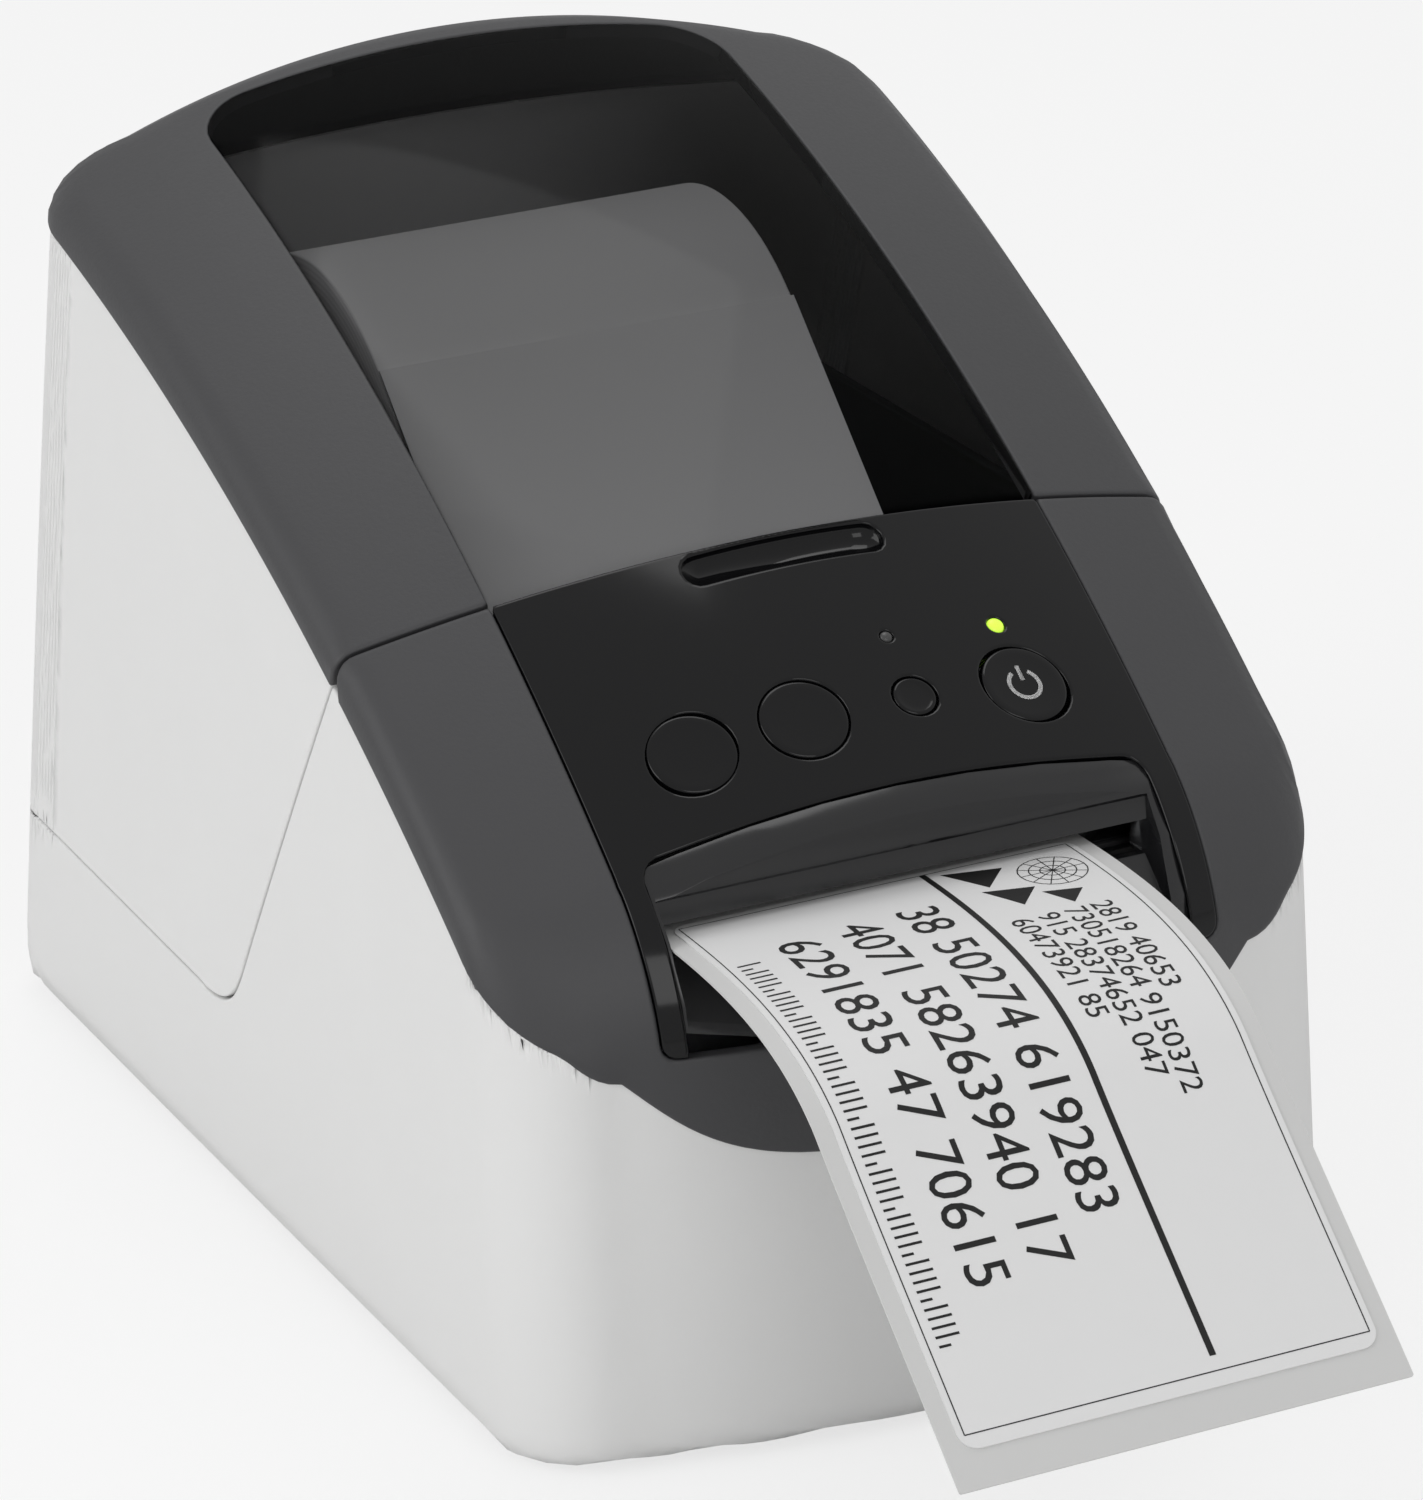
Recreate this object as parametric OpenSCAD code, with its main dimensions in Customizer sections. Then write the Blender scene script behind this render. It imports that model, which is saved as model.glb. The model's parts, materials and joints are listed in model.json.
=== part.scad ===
/* [Body] */
// Half width of the case at its foot
foot_half_w = 61.05; // [55:0.5:68]
// Half width of the case at the lower edge of the dark top, at mid length
top_half_w = 62.45; // [56:0.5:70]
// Front face of the case at its middle, measured forward from the centre
front_y = 110.5; // [100:0.5:125]
// Rear face of the case at floor level beside the corners, measured back
rear_y = 109.5; // [100:0.5:125]
// Bulge of the front face in plan
front_bow = 6.9; // [2:0.1:10]
// Bulge of the rear face in plan
rear_bow = 6; // [2:0.1:9]
// Radius of the two front vertical corners
front_corner_r = 15; // [12.5:0.5:20]
// Radius of the two rear vertical corners
rear_corner_r = 15; // [10:0.5:20]
// Radius of the lower edge at the back
heel_r = 10; // [4:0.5:14]
// Wall of the white mouldings
wall = 2.2; // [1.8:0.1:3]
// Wall of the dark mouldings on top
skin = 2.2; // [1.8:0.1:2.8]
// Set-back of the white walls behind the dark top
wall_step = 0.4; // [0.1:0.1:1]
// Chamfer round the foot of the case
foot_chamfer = 2; // [1:0.25:4]
// Height of the case's lower edge above the table
foot_gap = 1.6; // [1:0.1:4]

/* [Crowned top] */
// Radius of the long arc that the dark top follows in side view
arc_r = 373; // [330:1:450]
// Centre of that arc behind the middle of the case
arc_y = 138.7; // [125:0.1:150]
// Centre of that arc below the table
arc_drop = 225.8; // [200:0.1:240]
// Height of the dark top's upright skirt
skirt_h = 4.8; // [4:0.1:7]
// Rise of the top from its side edge to its middle
crown_h = 11.6; // [6:0.1:14]
// Half width over which the crown rises
crown_half_w = 62.5; // [56:0.5:70]
// Edge radius along the two sides of the top
side_edge_r = 2.5; // [1.5:0.1:4]
// Edge radius at the front of the top
front_edge_r = 11; // [6:0.5:12]
// Edge radius at the rear of the top
rear_edge_r = 6; // [3:0.5:9]
// Height of the dark band's lower edge across the front
band_z = 41.3; // [36:0.1:48]

/* [Cover] */
// Joint between cover and front panel at the sides, forward of the centre
seam_y = 52.6; // [48:0.1:56]
// Forward bulge of that joint in plan
seam_bow = 5.5; // [2:0.1:8]
// Gap at the joint between cover and case
seam_gap = 0.4; // [0.3:0.05:0.8]
// Height of the joint along the cover's lower side
sill_z = 31; // [29:0.5:33]
// Rise of that joint towards the back
sill_rise = 3; // [0:0.25:4]
// Radius of the cover's lower front corner
sill_corner_r = 10; // [6:0.5:12]
// Half width of the clear window and of the glossy panel
gloss_half_w = 40; // [39:0.25:42]
// Rear edge of the window, back from the centre
window_rear_y = 46; // [42:0.5:47]
// Corner radius of the window
window_corner_r = 8; // [4:0.5:12]
// Hinge axis, back from the centre
hinge_y = 93; // [92.5:0.25:93.5]
// Hinge axis height
hinge_z = 38; // [37.5:0.25:38.5]
// Radius of the hinge pins
hinge_pin_r = 1.5; // [1.2:0.1:1.8]

/* [Controls] */
// Row of buttons, forward of the centre
button_y = 83; // [82:0.25:83.5]
// Spacing of the buttons
button_pitch = 16; // [15:0.25:17]
// Radius of the three large buttons
button_r = 6; // [5:0.1:6.5]
// Radius of the small button
small_button_r = 3; // [2.5:0.1:4]
// Travel of the buttons
button_travel = 0.6; // [0.3:0.1:0.8]
// Row of lights, forward of the centre
light_y = 75; // [74:0.25:75.5]
// Radius of the status light
light_r = 1.2; // [0.8:0.1:1.5]
// Depth of the button board under the panel's surface
board_depth = 6.6; // [6.2:0.1:7]

/* [Label path] */
// Width of the label tape
tape_w = 62; // [50:0.5:63]
// Middle of the label tape, left of the centre
tape_x = 4.8; // [4.5:0.1:5.5]
// Radius of the label roll
roll_r = 35.5; // [26:0.5:36.5]
// Roll axis, back from the centre
roll_y = 14; // [13:0.25:16]
// Roll axis height
roll_z = 97; // [95:0.25:98]
// Radius of the spool's core tube
core_r = 12.5; // [10:0.5:16]
// Radius of the spool's end discs
flange_r = 22; // [18:0.5:30]
// Height of the tape where it leaves the slot
tape_z = 70; // [69.5:0.1:70.5]
// Thickness of the backing tape
liner_t = 0.3; // [0.2:0.05:0.4]
// Thickness of the label on it
label_t = 0.2; // [0.15:0.05:0.3]
// Half width of the exit recess
recess_half_w = 36.1; // [36:0.1:36.5]
// Middle of the exit recess, left of the centre
recess_x = 0.5; // [0.4:0.1:0.8]
// Rear edge of the exit recess, forward of the centre
recess_y = 92.6; // [92:0.1:93.5]

/* [Print mechanism] */
// Platen axis, forward of the centre
platen_y = 74; // [73:0.25:75]
// Radius of the rubber platen
platen_r = 6; // [5:0.1:6.2]
// Radius of the platen shaft
shaft_r = 2.5; // [2:0.1:3]
// Module of the gear train
gear_m = 0.8; // [0.78:0.01:0.81]
// Teeth on the motor pinion
pinion_teeth = 12; // [12:1:12]
// Teeth on the idler gear
idler_teeth = 36; // [36:1:36]
// Teeth on the platen gear
platen_teeth = 24; // [24:1:24]
// Face width of the gears
gear_w = 4; // [3:0.25:4.5]
// Outer face of each side plate from the middle line of the case
frame_half_w = 46; // [45:0.5:46.5]
// Thickness of the side plates
frame_t = 2; // [1.5:0.1:2.2]
// Radius of the feed motor
motor_r = 17.5; // [15:0.5:18]
// Cutting line, forward of the centre
cut_y = 87; // [86.8:0.1:87.3]
// Crank radius of the cutter
crank_r = 4; // [3:0.1:4.2]

/* [Hidden] */
$fn = 48;

// Clearances and shared small sizes
over = 1;
far = 200;
fit_gap = 0.15;
slide_gap = 0.2;
air_gap = 0.3;
bore_gap = 0.05;

// Shape of the outer skin
lean_share = 0.404;
taper_share = 0.028;
slope_share = 1.2;
sky_z = 172;
front_steps = 4;
side_steps = 9;
rear_steps = 4;
cols = 10;
edge_angles = [30, 60, 90];
foot_shares = [0, 0.12, 0.4, 1];
front_line = -front_y + front_bow;
guess_z = arc_r / 3;
rows = front_steps + side_steps + rear_steps;

function skirt_z(y) = -arc_drop + sqrt(arc_r * arc_r - (arc_y - y) * (arc_y - y));
function top_z(x, y) = skirt_z(y) + skirt_h + crown_h * (1 - pow(x / crown_half_w, 2));
function top_slope(y) = atan((arc_y - y) / sqrt(arc_r * arc_r - (arc_y - y) * (arc_y - y)));
function rear_line(z) = rear_y - lean_share * z;
function half_w(y, z) =
    foot_half_w + (top_half_w + taper_share * y - foot_half_w) * z / skirt_z(y);

// One row of the skin's plan: its half width and its place along the case
function row_end(i, d, z) =
    let (
        fy = front_line + front_corner_r,
        ry = rear_line(z) - rear_corner_r,
        fa = -90 + 90 * i / front_steps,
        ra = 90 * (i - front_steps - side_steps) / rear_steps,
        sy = fy + (ry - fy) * (i - front_steps) / side_steps
    )
    i <= front_steps
        ? [half_w(fy, z) - front_corner_r + (front_corner_r - d) * cos(fa), fy + (front_corner_r - d) * sin(fa)]
        : i < front_steps + side_steps
            ? [half_w(sy, z) - d, sy]
            : [half_w(ry, z) - rear_corner_r + (rear_corner_r - d) * cos(ra), ry + (rear_corner_r - d) * sin(ra)];

function bow_at(i) =
    i < front_steps ? -front_bow * pow(1 - i / front_steps, 2)
    : i > rows - rear_steps ? rear_bow * pow((i - rows + rear_steps) / rear_steps, 2)
    : 0;

function plan_point(i, j, d, z) =
    let (e = row_end(i, d, z), u = 2 * j / cols - 1)
    [e[0] * u, e[1] + bow_at(i) * (1 - u * u)];

// Edge radius beside each row: large in front, small along the sides
function edge_r(i) =
    i <= front_steps ? front_edge_r + (side_edge_r - front_edge_r) * pow(i / front_steps, 2)
    : i >= rows - rear_steps
        ? side_edge_r + (rear_edge_r - side_edge_r) * (i - rows + rear_steps) / rear_steps
        : side_edge_r;

function skin_point(i, j, d, sink, drop) =
    let (
        a = plan_point(i, j, d, guess_z),
        b = plan_point(i, j, d, top_z(a[0], a[1])),
        c = plan_point(i, j, d, top_z(b[0], b[1]) - drop)
    )
    [c[0], c[1], top_z(c[0], c[1]) - sink - drop];

// The closed ring of row ends: right side, rear edge, left side, front edge
ring = concat(
    [for (i = [0:rows]) [i, cols]],
    [for (j = [cols - 1:-1:1]) [rows, j]],
    [for (i = [rows:-1:0]) [i, 0]],
    [for (j = [1:cols - 1]) [0, j]]
);
ring_n = len(ring);
grid_n = (rows + 1) * (cols + 1);

// Faces between two rings of points, the first one above the second
function band_faces(upper, lower) = [
    for (t = [0:ring_n - 1])
        let (a = upper[t], b = upper[(t + 1) % ring_n], c = lower[(t + 1) % ring_n], d = lower[t])
        each [[a, b, c], [a, c, d]]
];

// The whole case as one closed body, set in by d and lowered by sink
module dome(d, sink) {
    steps = len(edge_angles);
    grid = [
        for (i = [0:rows]) for (j = [0:cols])
            skin_point(i, j, d + max(edge_r(i) - d, side_edge_r / 5), sink, 0)
    ];
    edges = [
        for (a = edge_angles) for (r = ring)
            let (er = max(edge_r(r[0]) - d, side_edge_r / 5))
            skin_point(r[0], r[1], d + er * (1 - sin(a)), sink, er * (1 - cos(a)))
    ];
    foot = [for (r = ring) let (p = plan_point(r[0], r[1], d, 0)) [p[0], p[1], 0]];
    ring0 = [for (r = ring) r[0] * (cols + 1) + r[1]];
    loops = concat([ring0], [for (k = [0:steps]) [for (t = [0:ring_n - 1]) grid_n + k * ring_n + t]]);
    tops = [
        for (i = [0:rows - 1]) for (j = [0:cols - 1])
            let (a = i * (cols + 1) + j, b = a + 1, c = a + cols + 2, e = a + cols + 1)
            each [[a, c, b], [a, e, c]]
    ];
    sides = [for (k = [0:steps]) each band_faces(loops[k], loops[k + 1])];
    floor = [[for (t = [0:ring_n - 1]) loops[steps + 1][t]]];
    polyhedron(points = concat(grid, edges, foot), faces = concat(tops, sides, floor), convexity = 4);
}

// Set-back of the foot beside row i at a height h over the lower edge
function foot_inset(i, h, t) =
    let (c = (i > rows - rear_steps ? heel_r : i < rows - rear_steps ? foot_chamfer : (heel_r + foot_chamfer) / 2) - t)
    h >= c ? 0 : c - sqrt(c * c - (c - h) * (c - h));

// The upright walls alone, from the foot past the top, set in by d, with a rounded foot thinner by t
module walls(d, t) {
    z0 = foot_gap + t;
    heights = [for (s = foot_shares) s * (heel_r - t)];
    points = concat(
        [
            for (h = heights) for (r = ring)
                let (p = plan_point(r[0], r[1], d + foot_inset(r[0], h, t), z0 + h)) [p[0], p[1], z0 + h]
        ],
        [for (r = ring) let (p = plan_point(r[0], r[1], d, sky_z)) [p[0], p[1], sky_z]]
    );
    count = len(heights);
    loops = [for (k = [0:count]) [for (t = [0:ring_n - 1]) k * ring_n + t]];
    lid = [[for (t = [ring_n - 1:-1:0]) loops[count][t]]];
    sides = [for (k = [0:count - 1]) each band_faces(loops[k + 1], loops[k])];
    polyhedron(points = points, faces = concat(sides, lid, [loops[0]]), convexity = 4);
}

// Extrusions of a side view across the case, and of a front view along it
module across(x0, x1) translate([x0, 0, 0]) rotate([90, 0, 90]) linear_extrude(x1 - x0) children();
module along(y0, y1) translate([0, y1, 0]) rotate([90, 0, 0]) linear_extrude(y1 - y0) children();
module rod(x0, x1, r, y, z) translate([x0, y, z]) rotate([0, 90, 0]) cylinder(r = r, h = x1 - x0);
module rod_y(y0, y1, r, x, z) translate([x, y1, z]) rotate([90, 0, 0]) cylinder(r = r, h = y1 - y0);

// A box from corner to corner
module block(a, b) translate(a) cube(b - a);

// A rectangle with round corners, centred on x and standing on y0
module pad(w, y0, y1, r) {
    translate([-w / 2 + r, y0]) square([w - 2 * r, y1 - y0]);
    translate([-w / 2, y0 + r]) square([w, y1 - y0 - 2 * r]);
    for (x = [-w / 2 + r, w / 2 - r]) for (y = [y0 + r, y1 - r]) translate([x, y]) circle(r);
}

function bezier(a, b, c, d, n) = [
    for (k = [0:n]) let (t = k / n, u = 1 - t) u * u * u * a + 3 * u * u * t * b + 3 * u * t * t * c + t * t * t * d
];

// Lower edge of the dark top in side view: the long arc, then a turn into the front band
turn_y = front_line + front_corner_r * 0.17;
turn_end = -front_y;
skirt_line = concat(
    [for (k = [0:14]) let (y = rear_y + (turn_y - rear_y) * k / 14) [y, skirt_z(y)]],
    bezier(
        [turn_y, skirt_z(turn_y)],
        [turn_y - front_corner_r * 0.22, skirt_z(turn_y) - front_corner_r * 0.17],
        [turn_y - front_corner_r * 0.3, band_z + front_corner_r * 0.06],
        [turn_end, band_z], 6
    )
);
module above_skirt() across(-far, far)
    polygon(concat(skirt_line, [[-far, band_z], [-far, sky_z + over], [rear_y, sky_z + over]]));
module below_skirt() translate([0, 0, -fit_gap]) across(-far, far)
    polygon(concat([[far, skirt_z(rear_y)]], skirt_line, [[-far, band_z], [-far, -over], [far, -over]]));

// The cover's outline in side view: slanting front edge, round corner, rising sill
seam_step = 1.9;
lid_top = [-seam_y + seam_step, skirt_z(-seam_y + seam_step)];
lid_lean_share = 0.782;
lid_corner = [lid_top[0] + (lid_top[1] - sill_z) * lid_lean_share, sill_z];
lid_edge = bezier(
    lid_corner + [-lid_lean_share, 1] * sill_corner_r * 0.8, lid_corner + [-lid_lean_share, 1] * sill_corner_r * 0.2,
    lid_corner + [sill_corner_r * 0.25, 0], lid_corner + [sill_corner_r, 0], 6
);
lid_head = lid_top + [-lid_lean_share, 1] * (sky_z - lid_top[1]);
module lid_side() polygon(concat([lid_head], lid_edge, [[far, sill_z + sill_rise * far / rear_y], [far, sky_z]]));

// Plan areas in front of and behind the joint across the top
function seam_at(x) = -seam_y - seam_bow * (1 - pow(x / crown_half_w, 2));
seam_line = [for (k = [-8:8]) let (x = crown_half_w * 1.1 * k / 8) [x, seam_at(x)]];
module rear_plan() linear_extrude(sky_z) polygon(concat(seam_line, [[far, far], [-far, far]]));
module front_plan() linear_extrude(sky_z) translate([0, -seam_gap])
    polygon(concat(seam_line, [[far, -far], [-far, -far]]));

// A frame standing on the crowned surface, with z along its normal
module on_top(x, y) {
    translate([x, -y, top_z(x, -y)]) rotate([top_slope(-y), 0, 0])
        rotate([0, atan(2 * crown_h * x / crown_half_w / crown_half_w * cos(top_slope(-y))), 0]) children();
}

panel_foot_z = band_z + front_edge_r * 1.47;
platen_z = tape_z - liner_t / 2 - fit_gap - platen_r;
pan_z = foot_gap + wall + fit_gap;
pan_t = 2;
deck_z = pan_z + pan_t;
tape_l = -tape_x - tape_w / 2;
tape_r = -tape_x + tape_w / 2;

white = [0.9, 0.9, 0.9];
charcoal = [0.16, 0.16, 0.17];
gloss = [0.03, 0.03, 0.03];
smoke = [0.2, 0.2, 0.22, 0.55];
steel = [0.72, 0.73, 0.75];
grey = [0.35, 0.36, 0.38];
paper = [0.95, 0.95, 0.93];
rubber = [0.08, 0.08, 0.08];
board_green = [0.1, 0.35, 0.2];
nylon = [0.85, 0.84, 0.78];

// Rear sockets: places, cut-outs and the case's white tub
inlet_x = -33;
inlet_z = 18;
inlet_w = 21;
inlet_h = 14;
usb_x = 34;
usb_z = 17;
usb_w = 13;
usb_h = 12;
ear_x = 46;
ear_t = 4;
ear_r = 3.2;
relief_half_w = 54;
relief_h = 2;
foot_x = 46;
foot_front_y = -84;
foot_rear_y = 66;
foot_r = 6;
screw_x = 38;
screw_front_y = -78;
screw_rear_y = 78;
screw_r = 1.5;
screw_head_r = 3;

module tub_side() difference() {
    polygon(concat([[far, skirt_z(rear_y)]], skirt_line, [[-far, band_z], [-far, -over], [far, -over]]));
    translate([-seam_gap / 2, -seam_gap]) lid_side();
}

module tub_shape() {
    difference() {
        intersection() {
            walls(wall_step, 0);
            across(-far, far) tub_side();
        }
        walls(wall_step + wall, wall);
        block([-relief_half_w, hinge_y, hinge_z - relief_h * 3], [relief_half_w, far, hinge_z]);
        along(rear_y - heel_r * 2, far) translate([inlet_x, 0])
            pad(inlet_w + 2 * slide_gap, inlet_z - inlet_h / 2 - slide_gap, inlet_z + inlet_h / 2 + slide_gap, over);
        along(rear_y - heel_r * 2, far) translate([usb_x, 0])
            pad(usb_w + 2 * slide_gap, usb_z - usb_h / 2 - slide_gap, usb_z + usb_h / 2 + slide_gap, over);
        for (x = [-screw_x, screw_x]) for (y = [screw_front_y, screw_rear_y]) translate([x, y, foot_gap - over]) {
            cylinder(r = screw_r + slide_gap, h = wall + 3 * over);
            cylinder(r = screw_head_r + slide_gap, h = over + wall / 2);
        }
    }
}

// Two ears behind the cover's sill carry its hinge pins
module hinge_ear(x) {
    difference() {
        union() {
            rod(x - ear_t / 2, x + ear_t / 2, ear_r, hinge_y, hinge_z);
            across(x - ear_t / 2, x + ear_t / 2) polygon([
                [hinge_y - ear_r, hinge_z], [hinge_y + ear_r, hinge_z],
                [rear_line(hinge_z - ear_r * 4) - wall_step - wall / 2, hinge_z - ear_r * 4],
                [rear_line(hinge_z - ear_r * 5) - wall_step - wall / 2, hinge_z - ear_r * 5]
            ]);
        }
        rod(x - ear_t, x + ear_t, hinge_pin_r + bore_gap, hinge_y, hinge_z);
    }
}

module lower_case() color(white) {
    tub_shape();
    for (x = [-ear_x, ear_x]) hinge_ear(x);
}

// Inner pan that carries the mechanism and the boards
pan_inset = 9;
pan_half_w = foot_half_w - pan_inset;
pan_front_y = -88;
pan_rear_y = 84;
post_r = 3.2;
post_h = 5;
board_x = 22;
board_half_w = 22;
board_y = 30;
board_half_l = 44;
board_t = 1.6;
psu_x = -24;
psu_half_w = 20;
psu_y = 34;
psu_half_l = 38;
psu_h = 32;
inset_share = 0.86;

module base_pan() color(grey) difference() {
    union() {
        translate([0, 0, pan_z]) linear_extrude(pan_t) pad(2 * pan_half_w, pan_front_y, pan_rear_y, post_r * 2);
        for (x = [-1, 1]) for (y = [-1, 1])
            translate([board_x + x * board_half_w * inset_share, board_y + y * board_half_l * inset_share, deck_z])
                cylinder(r = post_r, h = post_h);
        for (x = [-screw_x, screw_x]) for (y = [screw_front_y, screw_rear_y])
            translate([x, y, pan_z]) cylinder(r = post_r, h = pan_t + post_h / 2);
    }
    for (x = [-screw_x, screw_x]) for (y = [screw_front_y, screw_rear_y])
        translate([x, y, pan_z - over]) cylinder(r = screw_r + bore_gap, h = pan_t + post_h + 2 * over);
}

// Dark skin of the top between its outer and inner surface
module top_skin(t) difference() {
    dome(0, 0);
    dome(t, t * slope_share);
}

module panel_area(w) along(-far, 0) pad(2 * w, panel_foot_z + gloss_half_w - w, sky_z * 2, post_r);
module recess_area() {
    block([-recess_x - recess_half_w, -far, panel_foot_z - over], [-recess_x + recess_half_w, -recess_y, sky_z]);
}

module front_bezel() color(charcoal) difference() {
    intersection() {
        dome(0, 0);
        above_skirt();
        front_plan();
    }
    dome(skin, skin * slope_share);
    panel_area(gloss_half_w);
}

// Button places: x, radius
buttons = [[-1.5, button_r], [-0.5, button_r], [0.5, small_button_r], [1.5, button_r]];
notch_half_w = 14.5;
notch_y = 61.2;
notch_l = 4.4;
notch_depth = 1.5;
stud_x = 31.6;
stud_r = 1.8;
stud_rise = 10;

module panel_frame(x, y) translate([0, -y, top_z(0, -y)]) rotate([top_slope(-y), 0, 0]) translate([x, 0, 0]) children();

module control_panel() color(gloss) {
    difference() {
        intersection() {
            top_skin(skin);
            panel_area(gloss_half_w - fit_gap);
            front_plan();
        }
        recess_area();
        for (b = buttons) on_top(b[0] * button_pitch, button_y)
            translate([0, 0, -skin * 4]) cylinder(r = b[1] + slide_gap, h = skin * 6);
        for (x = [0.5, 1.5]) on_top(x * button_pitch, light_y)
            translate([0, 0, -skin * 2]) cylinder(r = light_r + bore_gap, h = skin * 3);
        panel_frame(0, notch_y) translate([0, 0, -notch_depth])
            linear_extrude(notch_depth * 4) pad(2 * notch_half_w, -notch_l / 2, notch_l / 2, notch_l / 2.1);
    }
    for (x = [-stud_x, stud_x]) panel_frame(x, button_y) for (y = [-stud_rise / 2.5, stud_rise])
        translate([0, y, -board_depth + fit_gap])
            cylinder(r = stud_r, h = board_depth - skin - crown_h * pow(stud_x / crown_half_w, 2) * 0.7);
}

// Hood, floor and cheeks of the exit recess
hood_t = 1.2;
hood_step = 0.6;
slot_h = 4.6;
slot_z = tape_z - slot_h / 2;
lip_inset = 1.4;
lip_y = front_y - lip_inset;
chute_t = 1.6;
lip_z = panel_foot_z + fit_gap + hood_step;
cheek_t = 0.9;
cheek_flare = 2.6;
chute_half_w = recess_half_w - fit_gap;

module exit_chute() color(gloss) intersection() {
    dome(wall_step, wall_step * slope_share);
    translate([-recess_x, 0, 0]) {
        across(-chute_half_w, chute_half_w) polygon([
            [-recess_y - fit_gap, sky_z / 2 + slot_z / 4], [-recess_y - fit_gap, slot_z + slot_h + hood_t],
            [-recess_y - hood_t * 1.5, slot_z + slot_h], [-recess_y - hood_t * 3.6, slot_z + slot_h],
            [-recess_y - hood_t * 2.9, slot_z + slot_h + 2.4 * hood_t],
            [-recess_y - hood_t * 2.9 - hood_step, slot_z + slot_h + 2.9 * hood_t],
            [-recess_y - hood_t, sky_z / 2 + slot_z / 4]
        ]);
        across(-chute_half_w, chute_half_w) polygon([
            [-recess_y - fit_gap, slot_z], [-recess_y - slot_h, slot_z], [-lip_y, lip_z + hood_step],
            [-lip_y, lip_z - hood_step], [-recess_y - slot_h, slot_z - chute_t],
            [-recess_y - fit_gap, slot_z - chute_t]
        ]);
        for (s = [-1, 1]) intersection() {
            along(-lip_y, -recess_y - fit_gap) polygon([
                [s * chute_half_w, sky_z], [s * (chute_half_w - cheek_t / 2), sky_z],
                [s * (chute_half_w - cheek_t / 2), slot_z + slot_h * 3],
                [s * (chute_half_w - cheek_t / 2 - (s + 1) * cheek_flare / 2), panel_foot_z], [s * chute_half_w, panel_foot_z]
            ]);
            across(-far, far) polygon([
                [-recess_y, slot_z - chute_t], [-recess_y, sky_z], [-lip_y, sky_z],
                [-lip_y, lip_z - hood_step], [-recess_y - slot_h, slot_z - chute_t]
            ]);
        }
    }
}

// A button cap, flush with the panel, with a flange under it and a stem to its switch
cap_sink = 0.15;
button_flange = 0.7;
switch_h = 1.2;
stem_r = 1.6;
module button(x, r) {
    floor_z = -board_depth + switch_h + air_gap + button_travel
        + crown_h * pow(x / crown_half_w, 2) * cos(top_slope(-button_y));
    on_top(x, button_y) {
        translate([0, 0, -skin - air_gap - button_flange]) cylinder(r = r, h = skin + air_gap + button_flange - cap_sink);
        translate([0, 0, -skin - air_gap - button_flange]) cylinder(r = r + 2 * slide_gap, h = button_flange);
        translate([0, 0, floor_z]) cylinder(r = stem_r, h = -floor_z - skin);
    }
}
module feed_button() color(gloss) button(-1.5 * button_pitch, button_r);
module cut_button() color(gloss) button(-0.5 * button_pitch, button_r);
module mode_button() color(gloss) button(0.5 * button_pitch, small_button_r);
module power_button() color(gloss) button(1.5 * button_pitch, button_r);

module light_pipe(x) on_top(x, light_y) translate([0, 0, -skin * 1.5]) cylinder(r = light_r, h = skin * 1.5);
module status_light() color("yellowgreen") light_pipe(1.5 * button_pitch);
module mode_light() color(grey) light_pipe(0.5 * button_pitch);

// Board under the panel with one switch below each button and a lamp below each light
lamp_h = 1.4;
module button_board() color(board_green) {
    half_w = stud_x + stud_r;
    panel_frame(0, button_y) translate([-half_w, -stud_rise * 0.7, -board_depth - board_t])
        cube([2 * half_w, stud_rise * 1.9, board_t]);
    for (b = buttons) panel_frame(b[0] * button_pitch, button_y) translate([0, 0, -board_depth])
        cylinder(r = stem_r * 1.3, h = switch_h);
    for (x = [0.5, 1.5]) panel_frame(x * button_pitch, button_y)
        translate([0, (button_y - light_y) / cos(top_slope(-button_y)), -board_depth]) cylinder(r = light_r, h = lamp_h);
}

// White sides and back of the cover, with a knuckle beside each ear
knuckle_t = 5;
knuckle_x = ear_x - ear_t / 2 - air_gap - knuckle_t / 2;
module cover_shell() color(white) difference() {
    union() {
        intersection() {
            difference() {
                walls(wall_step, 0);
                walls(wall_step + wall, wall);
            }
            across(-far, far) lid_side();
            below_skirt();
        }
        for (s = [-1, 1]) rod(s * knuckle_x - knuckle_t / 2, s * knuckle_x + knuckle_t / 2, ear_r - slide_gap, hinge_y, hinge_z);
    }
    for (s = [-1, 1]) {
        rod(s * knuckle_x - knuckle_t, s * knuckle_x + knuckle_t, hinge_pin_r + bore_gap, hinge_y, hinge_z);
        block(
            [s * ear_x - ear_t / 2 - air_gap, hinge_y - 3 * ear_r, sill_z - over],
            [s * ear_x + ear_t / 2 + air_gap, far, hinge_z + ear_r + air_gap * 2]
        );
    }
}

module window_area(w, rear, r) pad(2 * w, -far, rear, r);

module cover_top() color(charcoal) difference() {
    intersection() {
        top_skin(skin);
        above_skirt();
        rear_plan();
    }
    linear_extrude(sky_z) window_area(gloss_half_w, window_rear_y, window_corner_r);
}

module cover_window() color(smoke) difference() {
    intersection() {
        dome(0, 0);
        linear_extrude(sky_z) intersection() {
            window_area(gloss_half_w - fit_gap, window_rear_y - fit_gap, window_corner_r - fit_gap);
            polygon(concat(seam_line, [[far, far], [-far, far]]));
        }
    }
    dome(skin, skin * slope_share);
}

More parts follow.
